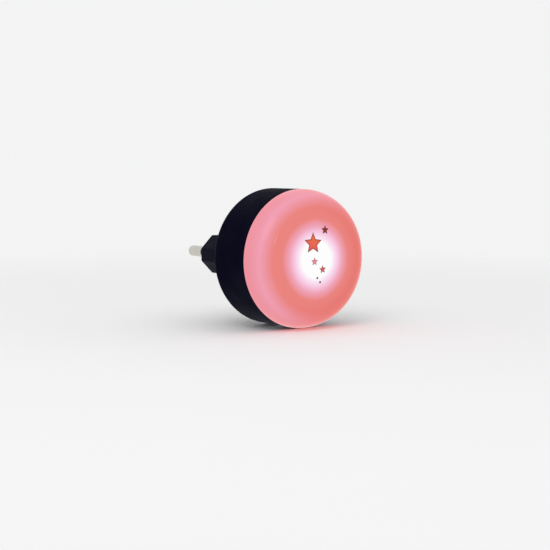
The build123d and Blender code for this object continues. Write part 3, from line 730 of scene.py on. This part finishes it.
def star_shape(settings, radius, tilt):
    """A flat star in the XZ plane, turned by a tilt in degrees.

    Its corners are rounded, and an attribute rises from 0 at its middle to 1 at its edge.
    """
    shape = bmesh.new()
    edge = shape.verts.layers.float.new(EDGE_ATTRIBUTE)
    ring = bmesh.ops.create_circle(shape, cap_ends=True, segments=10, radius=radius)["verts"]
    inner = ring[1::2]
    bmesh.ops.scale(shape, verts=inner, vec=Vector((settings.waist, settings.waist, 1)))
    bmesh.ops.bevel(
        shape, geom=shape.verts[:], offset=settings.tip_round * radius / settings.large_radius,
        affect="VERTICES", segments=2, profile=0.5, material=-1,
    )
    middle = bmesh.ops.poke(shape, faces=shape.faces[:])["verts"]
    for vertex in shape.verts:
        vertex[edge] = 0.0 if vertex in middle else 1.0
    bmesh.ops.transform(shape, matrix=about("X", 90) @ about("Z", tilt), verts=shape.verts)
    return shape


def dot_shape(radius):
    """A flat disc in the XZ plane."""
    shape = bmesh.new()
    bmesh.ops.create_circle(shape, cap_ends=True, segments=24, radius=radius)
    bmesh.ops.transform(shape, matrix=about("X", 90), verts=shape.verts)
    return shape


def lay_on_face(shape, face, across, up, thickness):
    """Press a flat outline onto the diffuser's face and give it the ink's thickness."""
    bmesh.ops.translate(shape, verts=shape.verts, vec=Vector((across, 0, up)))
    bmesh.ops.triangulate(shape, faces=shape.faces)
    bmesh.ops.subdivide_edges(shape, edges=shape.edges, cuts=2, use_grid_fill=True)
    for vertex in shape.verts:
        start = Vector((vertex.co.x, 2 * dome_low.y, vertex.co.z))
        hit = face.ray_cast(start, WALL_SIDE)[0]
        vertex.co = hit + INTO_ROOM * thickness
    thicken(shape, WALL_SIDE * 2 * thickness)


def draw_dome_curve(shape, dome, inset):
    """Draw the dome's curve from the band to the apex, inset from its outer face.

    Returns the curve's first vertex.
    """
    reach = housing_high.x
    band_end = housing_low.y - dome.rim_band
    side_centre = Vector((reach - dome.side_radius, band_end, 0))
    outward = Vector((math.cos(dome.side_turn), -math.sin(dome.side_turn), 0))
    corner_centre = side_centre + outward * (dome.side_radius - dome.corner_radius)
    start = shape.verts.new((reach - inset, band_end, 0))
    side_end = draw_arc(shape, start, side_centre, UPRIGHT, -dome.side_turn, steps=14)
    corner_turn = dome.side_turn - dome.crown_start
    corner_end = draw_arc(shape, side_end, corner_centre, UPRIGHT, corner_turn, steps=20)
    crown_radius = corner_end.co.x / math.cos(dome.crown_start)
    crown_centre = Vector((0, corner_end.co.y + crown_radius * math.sin(dome.crown_start), 0))
    crown_turn = dome.crown_start - math.pi / 2
    apex = draw_arc(shape, corner_end, crown_centre, UPRIGHT, crown_turn, steps=16)
    apex.co.x = 0
    return start


def add_snap_beads(shape, dome, tongue):
    """Raise the snap beads on the tongue, centred on the diagonals, with their feet sunk into its wall."""
    middle = housing_low.y + dome.snap_place
    half = dome.snap_width / 2
    corners = [
        (tongue - dome.lip_wall / 2, middle - half),
        (tongue, middle - half),
        (tongue + dome.snap_height, middle - half / 2),
        (tongue + dome.snap_height, middle + half / 2),
        (tongue, middle + half),
        (tongue - dome.lip_wall / 2, middle + half),
    ]
    step = math.tau / dome.snap_count
    for number in range(dome.snap_count):
        turn = Matrix.Rotation(step * (number + 0.5) - dome.snap_turn / 2, 3, "Y")
        profile = [shape.verts.new(turn @ Vector((across, depth, 0))) for across, depth in corners]
        turn_part(shape, profile, LAMP_AXIS, dome.snap_turn, steps=10)


class NIGHTLIGHT_OT_diffuser(bpy.types.Operator):
    """Model the smooth diffuser and give it its lit opal plastic"""

    bl_idname = "night_light.diffuser"
    bl_label = "Diffuser"

    def execute(self, context):
        dome = context.scene.lamp_dome
        rim = housing_high.x
        seat = housing_low.y
        tongue = rim - dome.lip_wall - dome.tongue_gap
        shape = bmesh.new()
        outer_start = draw_dome_curve(shape, dome, 0)
        inner_start = draw_dome_curve(shape, dome, dome.wall)
        corners = [
            (rim, seat - dome.rim_bevel),
            (rim - dome.rim_bevel, seat),
            (tongue, seat),
            (tongue, dome_high.y),
            (rim - dome.wall, dome_high.y),
        ]
        joining = [shape.verts.new((across, depth, 0)) for across, depth in corners]
        for pair in zip([outer_start, *joining], [*joining, inner_start]):
            shape.edges.new(pair)
        turn_round(shape, LAMP_AXIS, steps=192)
        add_snap_beads(shape, dome, tongue)
        add_piece(
            "smooth_diffuser", shape, opal_diffuser(context.scene.lamp_glow),
            stands_for=["diffuser_dome"],
        )
        return {"FINISHED"}


class NIGHTLIGHT_OT_star_print(bpy.types.Operator):
    """Print the stars and dots on the diffuser's face"""

    bl_idname = "night_light.star_print"
    bl_label = "Star print"

    def execute(self, context):
        glow = context.scene.lamp_glow
        settings = context.scene.lamp_print
        face = surface_of("diffuser_dome")
        small = settings.small_radius
        # Each star's radius, its place across and up, its tilt in degrees, and its ink at top and foot.
        stars = [
            ("large_star", settings.large_radius, -2.15 * MM, 5.8 * MM, -1.5, settings.orange, settings.red),
            ("upper_star", 1.1 * small, 3.1 * MM, 10.2 * MM, -3, settings.brown, settings.brown),
            ("middle_star", small, -1.6 * MM, -0.4 * MM, 0, settings.coral, settings.rose),
            ("lower_star", small, 1.9 * MM, -3.2 * MM, 5, settings.wine, settings.red),
        ]
        for name, radius, across, up, tilt, upper, lower in stars:
            shape = star_shape(settings, radius, tilt)
            lay_on_face(shape, face, across, up, settings.ink_thickness)
            ink = printed_ink(name + "_ink", upper, lower, up, radius, glow, settings)
            add_piece(name, shape, ink)
        dots = [("upper_dot", -0.35 * MM, -6.0 * MM), ("lower_dot", 0.9 * MM, -7.5 * MM)]
        ink = printed_ink("dot_ink", settings.plum, settings.plum, 0.0, MM, glow, settings)
        for name, across, up in dots:
            shape = dot_shape(settings.dot_radius)
            lay_on_face(shape, face, across, up, settings.ink_thickness)
            add_piece(name, shape, ink)
        return {"FINISHED"}


# Drum and plug


class NIGHTLIGHT_OT_housing(bpy.types.Operator):
    """Give the drum its dark eroded plastic"""

    bl_idname = "night_light.housing"
    bl_label = "Housing"

    def execute(self, context):
        colour = context.scene.lamp_body.drum
        shell = moulded_plastic(
            "eroded_shell", colour, rubbed=linear(11, 10, 36), roughness=0.65, grain=0.22 * MM,
            depth=0.012 * MM, specular_ior_level=0.02,
        )
        dress(shell, "housing")
        return {"FINISHED"}


class NIGHTLIGHT_OT_plug(bpy.types.Operator):
    """Finish the plug boss, its pins and their sleeves"""

    bl_idname = "night_light.plug"
    bl_label = "Plug"

    def execute(self, context):
        body = context.scene.lamp_body
        boss = moulded_plastic(
            "plug_plastic", body.plug, rubbed=linear(14, 13, 36), roughness=0.55, grain=0.16 * MM,
            specular_ior_level=0.04,
        )
        sleeve = moulded_plastic(
            "sleeve_plastic", body.sleeve, rubbed=linear(40, 40, 42), roughness=0.35, grain=0.4 * MM,
            depth=0.003 * MM, amount=0.8,
        )
        nickel = metal(
            "nickel_pin", body.pin, tarnished=linear(176, 170, 156), direction=(1.0, 0.04, 1.0),
            line=0.08 * MM, tarnish=0.25, roughness=0.28, depth=0.0008 * MM,
        )
        dress(boss, "plug_insert")
        dress(sleeve, "pin_sleeve_left", "pin_sleeve_right")
        dress(nickel, "plug_pin_left", "plug_pin_right")
        return {"FINISHED"}


def lettering(text, height, relief):
    """One centred line of lettering, raised by its relief on both sides of the XY plane."""
    curve = bpy.data.curves.new("lettering", "FONT")
    curve.body = text
    curve.size = height
    curve.align_x = "CENTER"
    curve.align_y = "CENTER"
    curve.extrude = relief
    curve.resolution_u = 3
    writing = bpy.data.objects.new("lettering", curve)
    mesh = bpy.data.meshes.new_from_object(writing)
    shape = bmesh.new()
    shape.from_mesh(mesh)
    bpy.data.objects.remove(writing)
    bpy.data.curves.remove(curve)
    bpy.data.meshes.remove(mesh)
    return shape


def square_ring(side, stroke, relief):
    """A square outline with plain corners, raised by its relief on both sides of the XY plane."""
    shape = bmesh.new()
    bmesh.ops.create_circle(shape, cap_ends=True, segments=4, radius=side / math.sqrt(2))
    bmesh.ops.transform(shape, matrix=about("Z", 45), verts=shape.verts)
    inner = shape.faces[:]
    bmesh.ops.inset_region(shape, faces=inner, thickness=stroke, use_boundary=True, use_even_offset=True)
    bmesh.ops.delete(shape, geom=inner, context="FACES_ONLY")
    thicken(shape, Vector((0, 0, -2 * relief)))
    bmesh.ops.translate(shape, verts=shape.verts, vec=Vector((0, 0, relief)))
    return shape


class NIGHTLIGHT_OT_rating(bpy.types.Operator):
    """Print a plain rating and the double-insulation sign on the drum's back"""

    bl_idname = "night_light.rating"
    bl_label = "Rating"

    def execute(self, context):
        details = context.scene.lamp_details
        colour = context.scene.lamp_body.mark
        paint = moulded_plastic(
            "rating_ink", colour, rubbed=linear(150, 150, 156), roughness=0.6, grain=0.1 * MM
        )
        height = details.rating_height
        relief = details.ink_relief
        # Turns the XY plane to the drum's back, so that print reads from behind.
        wall_face = Matrix(((-1, 0, 0), (0, 0, 1), (0, 1, 0))).to_4x4()
        line_step = 1.6 * height
        upper_line = details.rating_place + height
        sign = 1.7 * height
        stroke = 0.2 * height
        rows = [
            ("rating_volts", lettering("230 V~  50 Hz", height, relief), upper_line),
            ("rating_watts", lettering("0.5 W", height, relief), upper_line - line_step),
            ("insulation_outer", square_ring(sign, stroke, relief), -details.rating_place),
            ("insulation_inner", square_ring(sign / 2, stroke, relief), -details.rating_place),
        ]
        for name, shape, up in rows:
            place = Matrix.Translation(Vector((0, housing_high.y, up)))
            bmesh.ops.transform(shape, matrix=place @ wall_face, verts=shape.verts)
            add_piece(name, shape, paint)
        return {"FINISHED"}


class NIGHTLIGHT_OT_contacts(bpy.types.Operator):
    """Finish the brass contact strips, link pins and switch contacts"""

    bl_idname = "night_light.contacts"
    bl_label = "Contacts"

    def execute(self, context):
        brass = metal(
            "contact_brass", linear(214, 184, 118), tarnished=linear(150, 118, 66),
            direction=(1.0, 0.1, 1.0), line=0.07 * MM, tarnish=0.6,
        )
        dress(
            brass, "contact_strip_left", "contact_strip_right", "link_pins", "switch_terminals",
            "switch_wiper",
        )
        return {"FINISHED"}


# Screws and solder


def cut_away(shape, cutter):
    """Take one bmesh away from another with a Boolean modifier; both are used up."""
    solid = new_object("cut_part", shape)
    tool = new_object("cut_part", cutter)
    modifier = solid.modifiers.new("cut", "BOOLEAN")
    modifier.object = tool
    modifier.operation = "DIFFERENCE"
    modifier.solver = "EXACT"
    made = solid.evaluated_get(bpy.context.evaluated_depsgraph_get())
    result = bmesh.new()
    result.from_mesh(made.data)
    for used in (solid, tool):
        mesh = used.data
        bpy.data.objects.remove(used)
        bpy.data.meshes.remove(mesh)
    return result


def add_thread(shape, core, start, end, details):
    """Wind a thread's ridge round a screw's core, which lies on Z."""
    half = 0.3 * details.thread_pitch
    sunk = core - 0.3 * details.thread_height
    profile = [
        shape.verts.new((sunk, 0, start - half)),
        shape.verts.new((core + details.thread_height, 0, start)),
        shape.verts.new((sunk, 0, start + half)),
    ]
    turns = (end - start) / details.thread_pitch
    steps_per_turn = 24
    steps = round(steps_per_turn * turns)
    rise = (0, 0, (end - start) / steps)
    turn_part(shape, profile, UPRIGHT, turns * math.tau, steps, dvec=rise)


def screw_shape(head_radius, head_height, core, length, details):
    """A pan-head screw on Z, head up, with a thread and a cross recess; the head is seated at height 0."""
    flat = 0.5 * head_radius
    side = 0.45 * head_height
    rounding = []
    for degrees in range(0, 91, 15):
        angle = math.radians(degrees)
        radius = flat + (head_radius - flat) * math.cos(angle)
        rounding.append((radius, side + (head_height - side) * math.sin(angle)))
    point = 0.8 * core
    shape = turned([
        (0, -length),
        (core - 0.7 * point, -length),
        (core, -length + point),
        (core, 0),
        (head_radius, 0),
        *rounding,
        (0, head_height),
    ])
    slot_length = 1.15 * head_radius
    for turn in (0, 90):
        slot = bmesh.new()
        bmesh.ops.create_cube(slot, size=1)
        size = Vector((details.recess_width, slot_length, 2 * details.recess_depth))
        bmesh.ops.scale(slot, verts=slot.verts, vec=size)
        bottom = [vertex for vertex in slot.verts if vertex.co.z < 0]
        taper = Vector((0.7, 0.45, 1))
        bmesh.ops.scale(slot, verts=bottom, vec=taper)
        seat = Matrix.Translation((0, 0, head_height))
        bmesh.ops.transform(slot, matrix=seat @ about("Z", turn), verts=slot.verts)
        shape = cut_away(shape, slot)
    add_thread(shape, core, -length + point, -details.thread_pitch / 2, details)
    return shape


class NIGHTLIGHT_OT_screws(bpy.types.Operator):
    """Model the screws with their threads and cross recesses"""

    bl_idname = "night_light.screws"
    bl_label = "Screws"

    def execute(self, context):
        details = context.scene.lamp_details
        zinc = metal(
            "zinc_plating", linear(206, 208, 212), tarnished=linear(176, 170, 150),
            direction=(1.0, 0.2, 1.0), tarnish=0.6,
        )
        # Each group's core radius, and the angle in degrees from one screw's cross recess to the next's.
        screws = [
            ("insert_screws", details.insert_core, 20),
            ("board_screws", details.board_core, 65),
        ]
        for node, core, turn in screws:
            low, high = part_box(node)
            tips = tips_of(node, WALL_SIDE)
            head_radius = high.z - max(tip.z for tip in tips)
            length = high.y - low.y - details.head_height
            group = bmesh.new()
            for number, tip in enumerate(tips, start=1):
                screw = screw_shape(head_radius, details.head_height, core, length, details)
                seat = Matrix.Translation((tip.x, high.y - length, tip.z))
                matrix = seat @ about("X", 90) @ about("Z", turn * number)
                bmesh.ops.transform(screw, matrix=matrix, verts=screw.verts)
                merge(group, screw)
            add_piece(node + "_threaded", group, zinc, stands_for=[node], smooth_angle=32.0)
        return {"FINISHED"}


def joint_shape(lead_radius, stretch, details):
    """A solder joint on Z: a flare of solder from the board up a lead, closed over its tip."""
    foot_radius = lead_radius + details.joint_spread
    centre = (foot_radius, 0, details.joint_height)
    flare = math.radians(80)
    cap_rise = 0.25 * lead_radius
    shape = bmesh.new()
    base = shape.verts.new((0, 0, 0))
    foot = shape.verts.new((foot_radius, 0, 0))
    top = draw_arc(shape, foot, centre, LAMP_AXIS, flare, steps=5)
    cap = shape.verts.new((0, 0, top.co.z + cap_rise))
    shape.edges.new((base, foot))
    shape.edges.new((top, cap))
    turn_round(shape, UPRIGHT, steps=20)
    bmesh.ops.scale(shape, verts=shape.verts, vec=Vector((1, stretch, 1)))
    return shape


class NIGHTLIGHT_OT_solder(bpy.types.Operator):
    """Solder every lead, pin and contact strip to its board"""

    bl_idname = "night_light.solder"
    bl_label = "Solder joints"

    def execute(self, context):
        details = context.scene.lamp_details
        tin = metal(
            "solder_tin", linear(204, 206, 208), tarnished=linear(168, 168, 164), line=0.3 * MM,
            roughness=0.22,
        )
        lead = details.lead_radius
        pin = details.pin_radius
        strip_stretch = details.strip_stretch
        # The solid whose tips are soldered, the board's side and level, the lead's radius, the stretch.
        rows = [
            ("film_capacitor", WALL_SIDE, board_high.y, lead, 1.0),
            ("smoothing_capacitor", WALL_SIDE, board_high.y, lead, 1.0),
            ("fusible_resistor", WALL_SIDE, board_high.y, lead, 1.0),
            ("link_pins", WALL_SIDE, board_high.y, pin, 1.0),
            ("switch_terminals", WALL_SIDE, board_high.y, pin, 1.0),
            ("link_pins", INTO_ROOM, light_board_low.y, pin, 1.0),
            ("contact_strip_left", INTO_ROOM, board_low.y, lead, strip_stretch),
            ("contact_strip_right", INTO_ROOM, board_low.y, lead, strip_stretch),
        ]
        joints = bmesh.new()
        for node, side, surface, radius, stretch in rows:
            facing = side.to_track_quat("Z", "Y").to_matrix().to_4x4()
            for tip in tips_of(node, side, apart=1.5 * stretch * MM):
                joint = joint_shape(radius, stretch, details)
                foot = Matrix.Translation((tip.x, surface, tip.z))
                bmesh.ops.transform(joint, matrix=foot @ facing, verts=joint.verts)
                merge(joints, joint)
        add_piece("solder_joints", joints, tin, smooth_angle=50.0)
        return {"FINISHED"}


# Boards and components


def solder_mask(name, mask, copper, laminate, edge_radius):
    """A circuit board: solder mask over islands of copper, with the bare laminate at its edge."""
    material, tree, shader = new_material(name)
    point = object_point(tree)
    place = add_node(tree, "ShaderNodeSeparateXYZ", {"Vector": point}).outputs
    flat = add_node(tree, "ShaderNodeCombineXYZ", {"X": place["X"], "Y": place["Z"]}).outputs["Vector"]
    island_size = 4.5 * MM
    cells = {"Vector": flat, "Scale": 1 / island_size, "Randomness": 0.7}
    nearest, second = [
        add_node(tree, "ShaderNodeTexVoronoi", cells, distance="CHEBYCHEV", feature=rank).outputs["Distance"]
        for rank in ("F1", "F2")
    ]
    raised = fade(tree, calculate(tree, "SUBTRACT", second, nearest), start=0.04, end=0.08)
    cloud = noise(tree, point, 1.5 * MM)
    covered = mix_colours(tree, raised, mask, copper)
    shaded = mix_colours(tree, calculate(tree, "MULTIPLY", cloud, 0.2), covered, laminate)
    radius = place_group(tree, "axis_radius").outputs["Radius"]
    edge = place_group(tree, "band", {
        "Value": radius, "Start": edge_radius - 0.05 * MM, "End": 2 * edge_radius, "Softness": 0.02 * MM,
    }).outputs["Mask"]
    connect(tree, shader, "Base Color", mix_colours(tree, edge, shaded, laminate))
    connect(tree, shader, "Roughness", fade(tree, cloud, start=0.2, end=0.8, low=0.28, high=0.42))
    bump(tree, shader, raised, depth=0.02 * MM)
    return material


class NIGHTLIGHT_OT_boards(bpy.types.Operator):
    """Finish the two circuit boards"""

    bl_idname = "night_light.boards"
    bl_label = "Circuit boards"

    def execute(self, context):
        green = solder_mask(
            "green_board", mask=linear(24, 96, 52), copper=linear(36, 116, 64),
            laminate=linear(176, 168, 120), edge_radius=board_high.x,
        )
        white = solder_mask(
            "white_board", mask=linear(226, 226, 222), copper=linear(236, 236, 232),
            laminate=linear(196, 196, 192), edge_radius=light_board_high.x,
        )
        dress(green, "driver_board")
        dress(white, "led_board")
        return {"FINISHED"}


def banded(name, ground, marks, roughness=0.35):
    """A lacquered or sleeved part whose ground colour carries bands along one of the frame's directions."""
    material, tree, shader = new_material(name)
    place = add_node(tree, "ShaderNodeSeparateXYZ", {"Vector": object_point(tree)}).outputs
    worn = place_group(tree, "handling", {
        "Clean Colour": ground,
        "Rubbed Colour": tuple(min(1.0, level * 1.4 + 0.02) for level in ground),
        "Clean Roughness": roughness,
        "Rubbed Roughness": RUBBED * roughness,
        "Patch Size": 3 * MM,
    })
    colour = worn.outputs["Colour"]
    for direction, start, end, paint in marks:
        band = place_group(tree, "band", {"Value": place[direction], "Start": start, "End": end})
        colour = mix_colours(tree, band.outputs["Mask"], colour, paint)
    connect(tree, shader, "Base Color", colour)
    connect(tree, shader, "Roughness", worn.outputs["Roughness"])
    texture = place_group(tree, "moulded_grain", {"Grain Size": 0.3 * MM})
    bump(tree, shader, texture.outputs["Height"], depth=0.004 * MM)
    return material


class NIGHTLIGHT_OT_components(bpy.types.Operator):
    """Finish the components on the driver board"""

    bl_idname = "night_light.components"
    bl_label = "Components"

    def execute(self, context):
        tin = linear(190, 192, 196)
        film_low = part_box("film_capacitor")[0]
        can_low, can_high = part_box("smoothing_capacitor")
        fuse_low, fuse_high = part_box("fusible_resistor")
        chips_low, chips_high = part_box("chip_resistors")
        lead_reach = 1.5 * MM
        stripe_width = 1.4 * MM
        film_leads = ("Z", film_low.z - MM, film_low.z + lead_reach, tin)
        box = banded("capacitor_box", linear(206, 142, 40), [film_leads], roughness=0.4)
        stripe = ("X", can_high.x - stripe_width, can_high.x + MM, linear(170, 176, 188))
        can_leads = ("Z", can_low.z - MM, can_low.z + lead_reach, tin)
        can_top = ("Z", can_high.z - 0.1 * MM, can_high.z + MM, tin)
        sleeve = banded("capacitor_sleeve", linear(24, 34, 66), [stripe, can_leads, can_top], roughness=0.3)
        middle = (fuse_low.x + fuse_high.x) / 2
        rings = [
            (-2.4 * MM, linear(120, 62, 30)),
            (-1.1 * MM, linear(20, 20, 22)),
            (0.2 * MM, linear(20, 20, 22)),
            (2.2 * MM, linear(190, 156, 66)),
        ]
        ring_width = 0.7 * MM
        bands = [("X", middle + at, middle + at + ring_width, paint) for at, paint in rings]
        bands.append(("X", fuse_low.x - MM, fuse_low.x + lead_reach, tin))
        bands.append(("X", fuse_high.x - lead_reach, fuse_high.x + MM, tin))
        lacquer = banded("resistor_coating", linear(126, 156, 166), bands, roughness=0.3)
        end_width = 0.45 * MM
        chip_length = 3.2 * MM
        ends = []
        for chip_start in (chips_low.x, chips_high.x - chip_length):
            ends.append(("X", chip_start - MM, chip_start + end_width, tin))
            ends.append(("X", chip_start + chip_length - end_width, chip_start + chip_length, tin))
        ceramic = banded("chip_ceramic", linear(30, 30, 32), ends)
        epoxy = moulded_plastic("moulded_epoxy", linear(30, 30, 32), rubbed=linear(48, 48, 50))
        dress(box, "film_capacitor")
        dress(sleeve, "smoothing_capacitor")
        dress(lacquer, "fusible_resistor")
        dress(ceramic, "chip_resistors")
        dress(epoxy, "bridge_rectifier", "link_header")
        return {"FINISHED"}


# Light source


def phosphor_gel():
    """Yellow phosphor grains in clear gel, lit from below."""
    material, tree, shader = new_material("phosphor", roughness=0.2, emission_strength=1.5)
    grains = noise(tree, object_point(tree), 0.06 * MM, detail=2.0)
    share = fade(tree, grains, start=0.35, end=0.65)
    gel = mix_colours(tree, share, linear(246, 214, 92), linear(255, 236, 150))
    connect(tree, shader, "Base Color", gel)
    connect(tree, shader, "Emission Color", gel)
    return material


class NIGHTLIGHT_OT_light_source(bpy.types.Operator):
    """Finish the reflector and the emitters"""

    bl_idname = "night_light.light_source"
    bl_label = "Light source"

    def execute(self, context):
        white = moulded_plastic(
            "reflector_white", linear(232, 232, 230), rubbed=linear(240, 240, 238), roughness=0.3,
            grain=0.3 * MM, depth=0.003 * MM,
        )
        package = moulded_plastic(
            "emitter_white", linear(234, 234, 226), rubbed=linear(222, 222, 210), roughness=0.35,
            grain=0.1 * MM, depth=0.002 * MM,
        )
        dress(white, "reflector")
        dress(package, "led_bodies")
        dress(phosphor_gel(), "led_phosphors")
        return {"FINISHED"}


# Switch


class NIGHTLIGHT_OT_switch(bpy.types.Operator):
    """Finish the slide switch and its knob"""

    bl_idname = "night_light.switch"
    bl_label = "Slide switch"

    def execute(self, context):
        body = context.scene.lamp_body
        phenolic = moulded_plastic(
            "switch_phenolic", linear(112, 66, 38), rubbed=linear(132, 84, 52), roughness=0.55
        )
        steel = metal(
            "switch_steel", linear(200, 202, 206), tarnished=linear(160, 160, 156),
            direction=(0.06, 1.0, 1.0), tarnish=0.5,
        )
        nylon = moulded_plastic("switch_nylon", linear(34, 34, 36), rubbed=linear(52, 52, 54), roughness=0.4)
        knob = moulded_plastic(
            "knob_plastic", body.knob, rubbed=linear(170, 168, 166), roughness=0.4, grain=0.15 * MM,
            depth=0.006 * MM, amount=0.9,
        )
        dress(phenolic, "switch_base")
        dress(steel, "switch_frame")
        dress(nylon, "switch_actuator")
        dress(knob, "switch_knob")
        return {"FINISHED"}


def bar_mark(details):
    """The mark for on: one stroke with rounded ends, raised on both sides of the XY plane."""
    shape = bmesh.new()
    bmesh.ops.create_cube(shape, size=1)
    size = Vector((details.mark_stroke, details.mark_height, 2 * details.mark_relief))
    bmesh.ops.scale(shape, verts=shape.verts, vec=size)
    upright = [edge for edge in shape.edges if edge.verts[0].co.xy == edge.verts[1].co.xy]
    bmesh.ops.bevel(
        shape, geom=upright, offset=0.45 * details.mark_stroke, affect="EDGES", segments=4, profile=0.5,
        material=-1,
    )
    return shape


def ring_mark(details):
    """The mark for off: a ring, raised on both sides of the XY plane."""
    outside = details.mark_height / 2
    inside = outside - details.mark_stroke
    relief = details.mark_relief
    lower = [(inside, -relief), (outside, -relief)]
    upper = [(outside, relief), (inside, relief)]
    return turned([*lower, *upper, lower[0]])


class NIGHTLIGHT_OT_switch_marks(bpy.types.Operator):
    """Raise a bar and a ring beside the switch slot, for on and off"""

    bl_idname = "night_light.switch_marks"
    bl_label = "Switch marks"

    def execute(self, context):
        details = context.scene.lamp_details
        colour = context.scene.lamp_body.mark
        paint = moulded_plastic("mark_paint", colour, rubbed=linear(150, 150, 156), grain=0.1 * MM)
        under = surface_of("housing")
        depth = (knob_low.y + knob_high.y) / 2
        marks = [
            ("on_mark", bar_mark(details), details.mark_place),
            ("off_mark", ring_mark(details), -details.mark_place),
        ]
        for name, shape, across in marks:
            start = Vector((across, depth, 2 * housing_low.z))
            floor = under.ray_cast(start, Vector(UPRIGHT))[0]
            bmesh.ops.translate(shape, verts=shape.verts, vec=floor)
            add_piece(name, shape, paint)
        return {"FINISHED"}


# Stage


class NIGHTLIGHT_OT_stage(bpy.types.Operator):
    """Set up the floor, the background, the lights and the camera"""

    bl_idname = "night_light.stage"
    bl_label = "Stage"

    def execute(self, context):
        stage = context.scene.lamp_stage
        self.add_floor(stage)
        self.add_background(context.scene, stage)
        self.add_lamp(context.scene, "key", stage.key_place, stage.key_size, stage.key_power)
        self.add_lamp(context.scene, "spark", stage.spark_place, stage.spark_size, stage.spark_power)
        self.add_camera(context.scene, stage)
        context.scene.view_settings.view_transform = "Standard"
        return {"FINISHED"}

    def add_floor(self, stage):
        """A wide pale floor just under the lamp's lowest point."""
        shape = bmesh.new()
        bmesh.ops.create_circle(shape, cap_ends=True, segments=96, radius=6.0)
        bmesh.ops.translate(shape, verts=shape.verts, vec=Vector((0, 0, cad_box[0].z - 0.02 * MM)))
        floor = new_object("floor", shape)
        floor.data.materials.append(self.floor_paint(stage))

    def floor_paint(self, stage):
        """Matt pale paint that only a camera above it sees; it fades into the background far out."""
        material, tree, shader = new_material("floor_paint", specular_ior_level=0.1, roughness=0.85)
        cloud = noise(tree, object_point(tree), 40 * MM)
        mottled = fade(tree, cloud, start=0.3, end=0.7, low=0.995)
        connect(tree, shader, "Base Color", scale_colour(tree, tuple(stage.floor), mottled))
        away = distance_from_axis(tree, object_point(tree), across=(1.0, 1.0, 0.0))
        near = fade(tree, away, stage.floor_fade / 4, stage.floor_fade, low=1.0, high=0.0)
        seen = add_node(tree, "ShaderNodeLightPath").outputs["Is Camera Ray"]
        below = add_node(tree, "ShaderNodeNewGeometry").outputs["Backfacing"]
        above = calculate(tree, "SUBTRACT", 1.0, below)
        shown = calculate(tree, "MULTIPLY", calculate(tree, "MULTIPLY", near, seen), above)
        clear = add_node(tree, "ShaderNodeBsdfTransparent").outputs["BSDF"]
        blend = add_node(tree, "ShaderNodeMixShader", {0: shown, 1: clear, 2: shader.outputs["BSDF"]})
        connect(tree, tree.nodes["Material Output"], "Surface", blend.outputs["Shader"])
        return material

    def add_background(self, scene, stage):
        """Even light all round; the camera, and what is glossy or clear, see the pale background."""
        world = bpy.data.worlds.new("studio")
        world.use_nodes = True
        tree = world.node_tree
        shader = tree.nodes["Background"]
        rays = add_node(tree, "ShaderNodeLightPath")
        seen = calculate(tree, "MAXIMUM", rays.outputs["Is Camera Ray"], rays.outputs["Is Glossy Ray"])
        seen = calculate(tree, "MAXIMUM", seen, rays.outputs["Is Transmission Ray"])
        white = (1.0, 1.0, 1.0)
        connect(tree, shader, "Color", mix_colours(tree, seen, white, tuple(stage.background)))
        connect(tree, shader, "Strength", fade(tree, seen, 0.0, 1.0, low=stage.sky_level))
        scene.world = world

    def add_lamp(self, scene, name, place, size, power):
        """A round studio light that faces the night light."""
        light = bpy.data.lights.new(name, "AREA")
        light.shape = "DISK"
        light.size = size
        light.energy = power
        lamp = bpy.data.objects.new(name, light)
        lamp.location = place
        lamp.rotation_euler = (-Vector(place)).to_track_quat("-Z", "Y").to_euler()
        scene.collection.objects.link(lamp)

    def add_camera(self, scene, stage):
        """The camera, where the photograph was taken."""
        data = bpy.data.cameras.new("camera")
        data.lens = stage.lens
        camera = bpy.data.objects.new("camera", data)
        camera.location = stage.place
        camera.rotation_euler = (math.radians(90) - stage.tilt, 0.0, -stage.turn)
        scene.collection.objects.link(camera)
        scene.camera = camera


class NIGHTLIGHT_PT_sidebar(bpy.types.Panel):
    """Settings and steps of the night light"""

    bl_idname = "NIGHTLIGHT_PT_sidebar"
    bl_label = "Night light"
    bl_space_type = "VIEW_3D"
    bl_region_type = "UI"
    bl_category = "Night light"

    def draw(self, context):
        for title, group in SETTINGS.items():
            settings = getattr(context.scene, title)
            box = self.layout.box()
            box.label(text=title.replace("_", " ").capitalize())
            for name in group.__annotations__:
                box.prop(settings, name)
        for step in STEPS:
            self.layout.operator(step.bl_idname)


SETTINGS = {
    "lamp_dome": DomeSettings,
    "lamp_glow": GlowSettings,
    "lamp_print": PrintSettings,
    "lamp_body": BodySettings,
    "lamp_details": DetailSettings,
    "lamp_stage": StageSettings,
}
STEPS = [
    NIGHTLIGHT_OT_diffuser,
    NIGHTLIGHT_OT_star_print,
    NIGHTLIGHT_OT_housing,
    NIGHTLIGHT_OT_plug,
    NIGHTLIGHT_OT_rating,
    NIGHTLIGHT_OT_contacts,
    NIGHTLIGHT_OT_screws,
    NIGHTLIGHT_OT_solder,
    NIGHTLIGHT_OT_boards,
    NIGHTLIGHT_OT_components,
    NIGHTLIGHT_OT_light_source,
    NIGHTLIGHT_OT_switch,
    NIGHTLIGHT_OT_switch_marks,
    NIGHTLIGHT_OT_stage,
]


def register():
    for cls in (*SETTINGS.values(), *STEPS, NIGHTLIGHT_PT_sidebar):
        bpy.utils.register_class(cls)
    for name, group in SETTINGS.items():
        setattr(bpy.types.Scene, name, bpy.props.PointerProperty(type=group))


def unregister():
    for name in SETTINGS:
        delattr(bpy.types.Scene, name)
    for cls in reversed((*SETTINGS.values(), *STEPS, NIGHTLIGHT_PT_sidebar)):
        bpy.utils.unregister_class(cls)


def main():
    register()
    make_shared_effects()
    for step in STEPS:
        group, name = step.bl_idname.split(".")
        getattr(getattr(bpy.ops, group), name)()


if __name__ == "__main__":
    main()
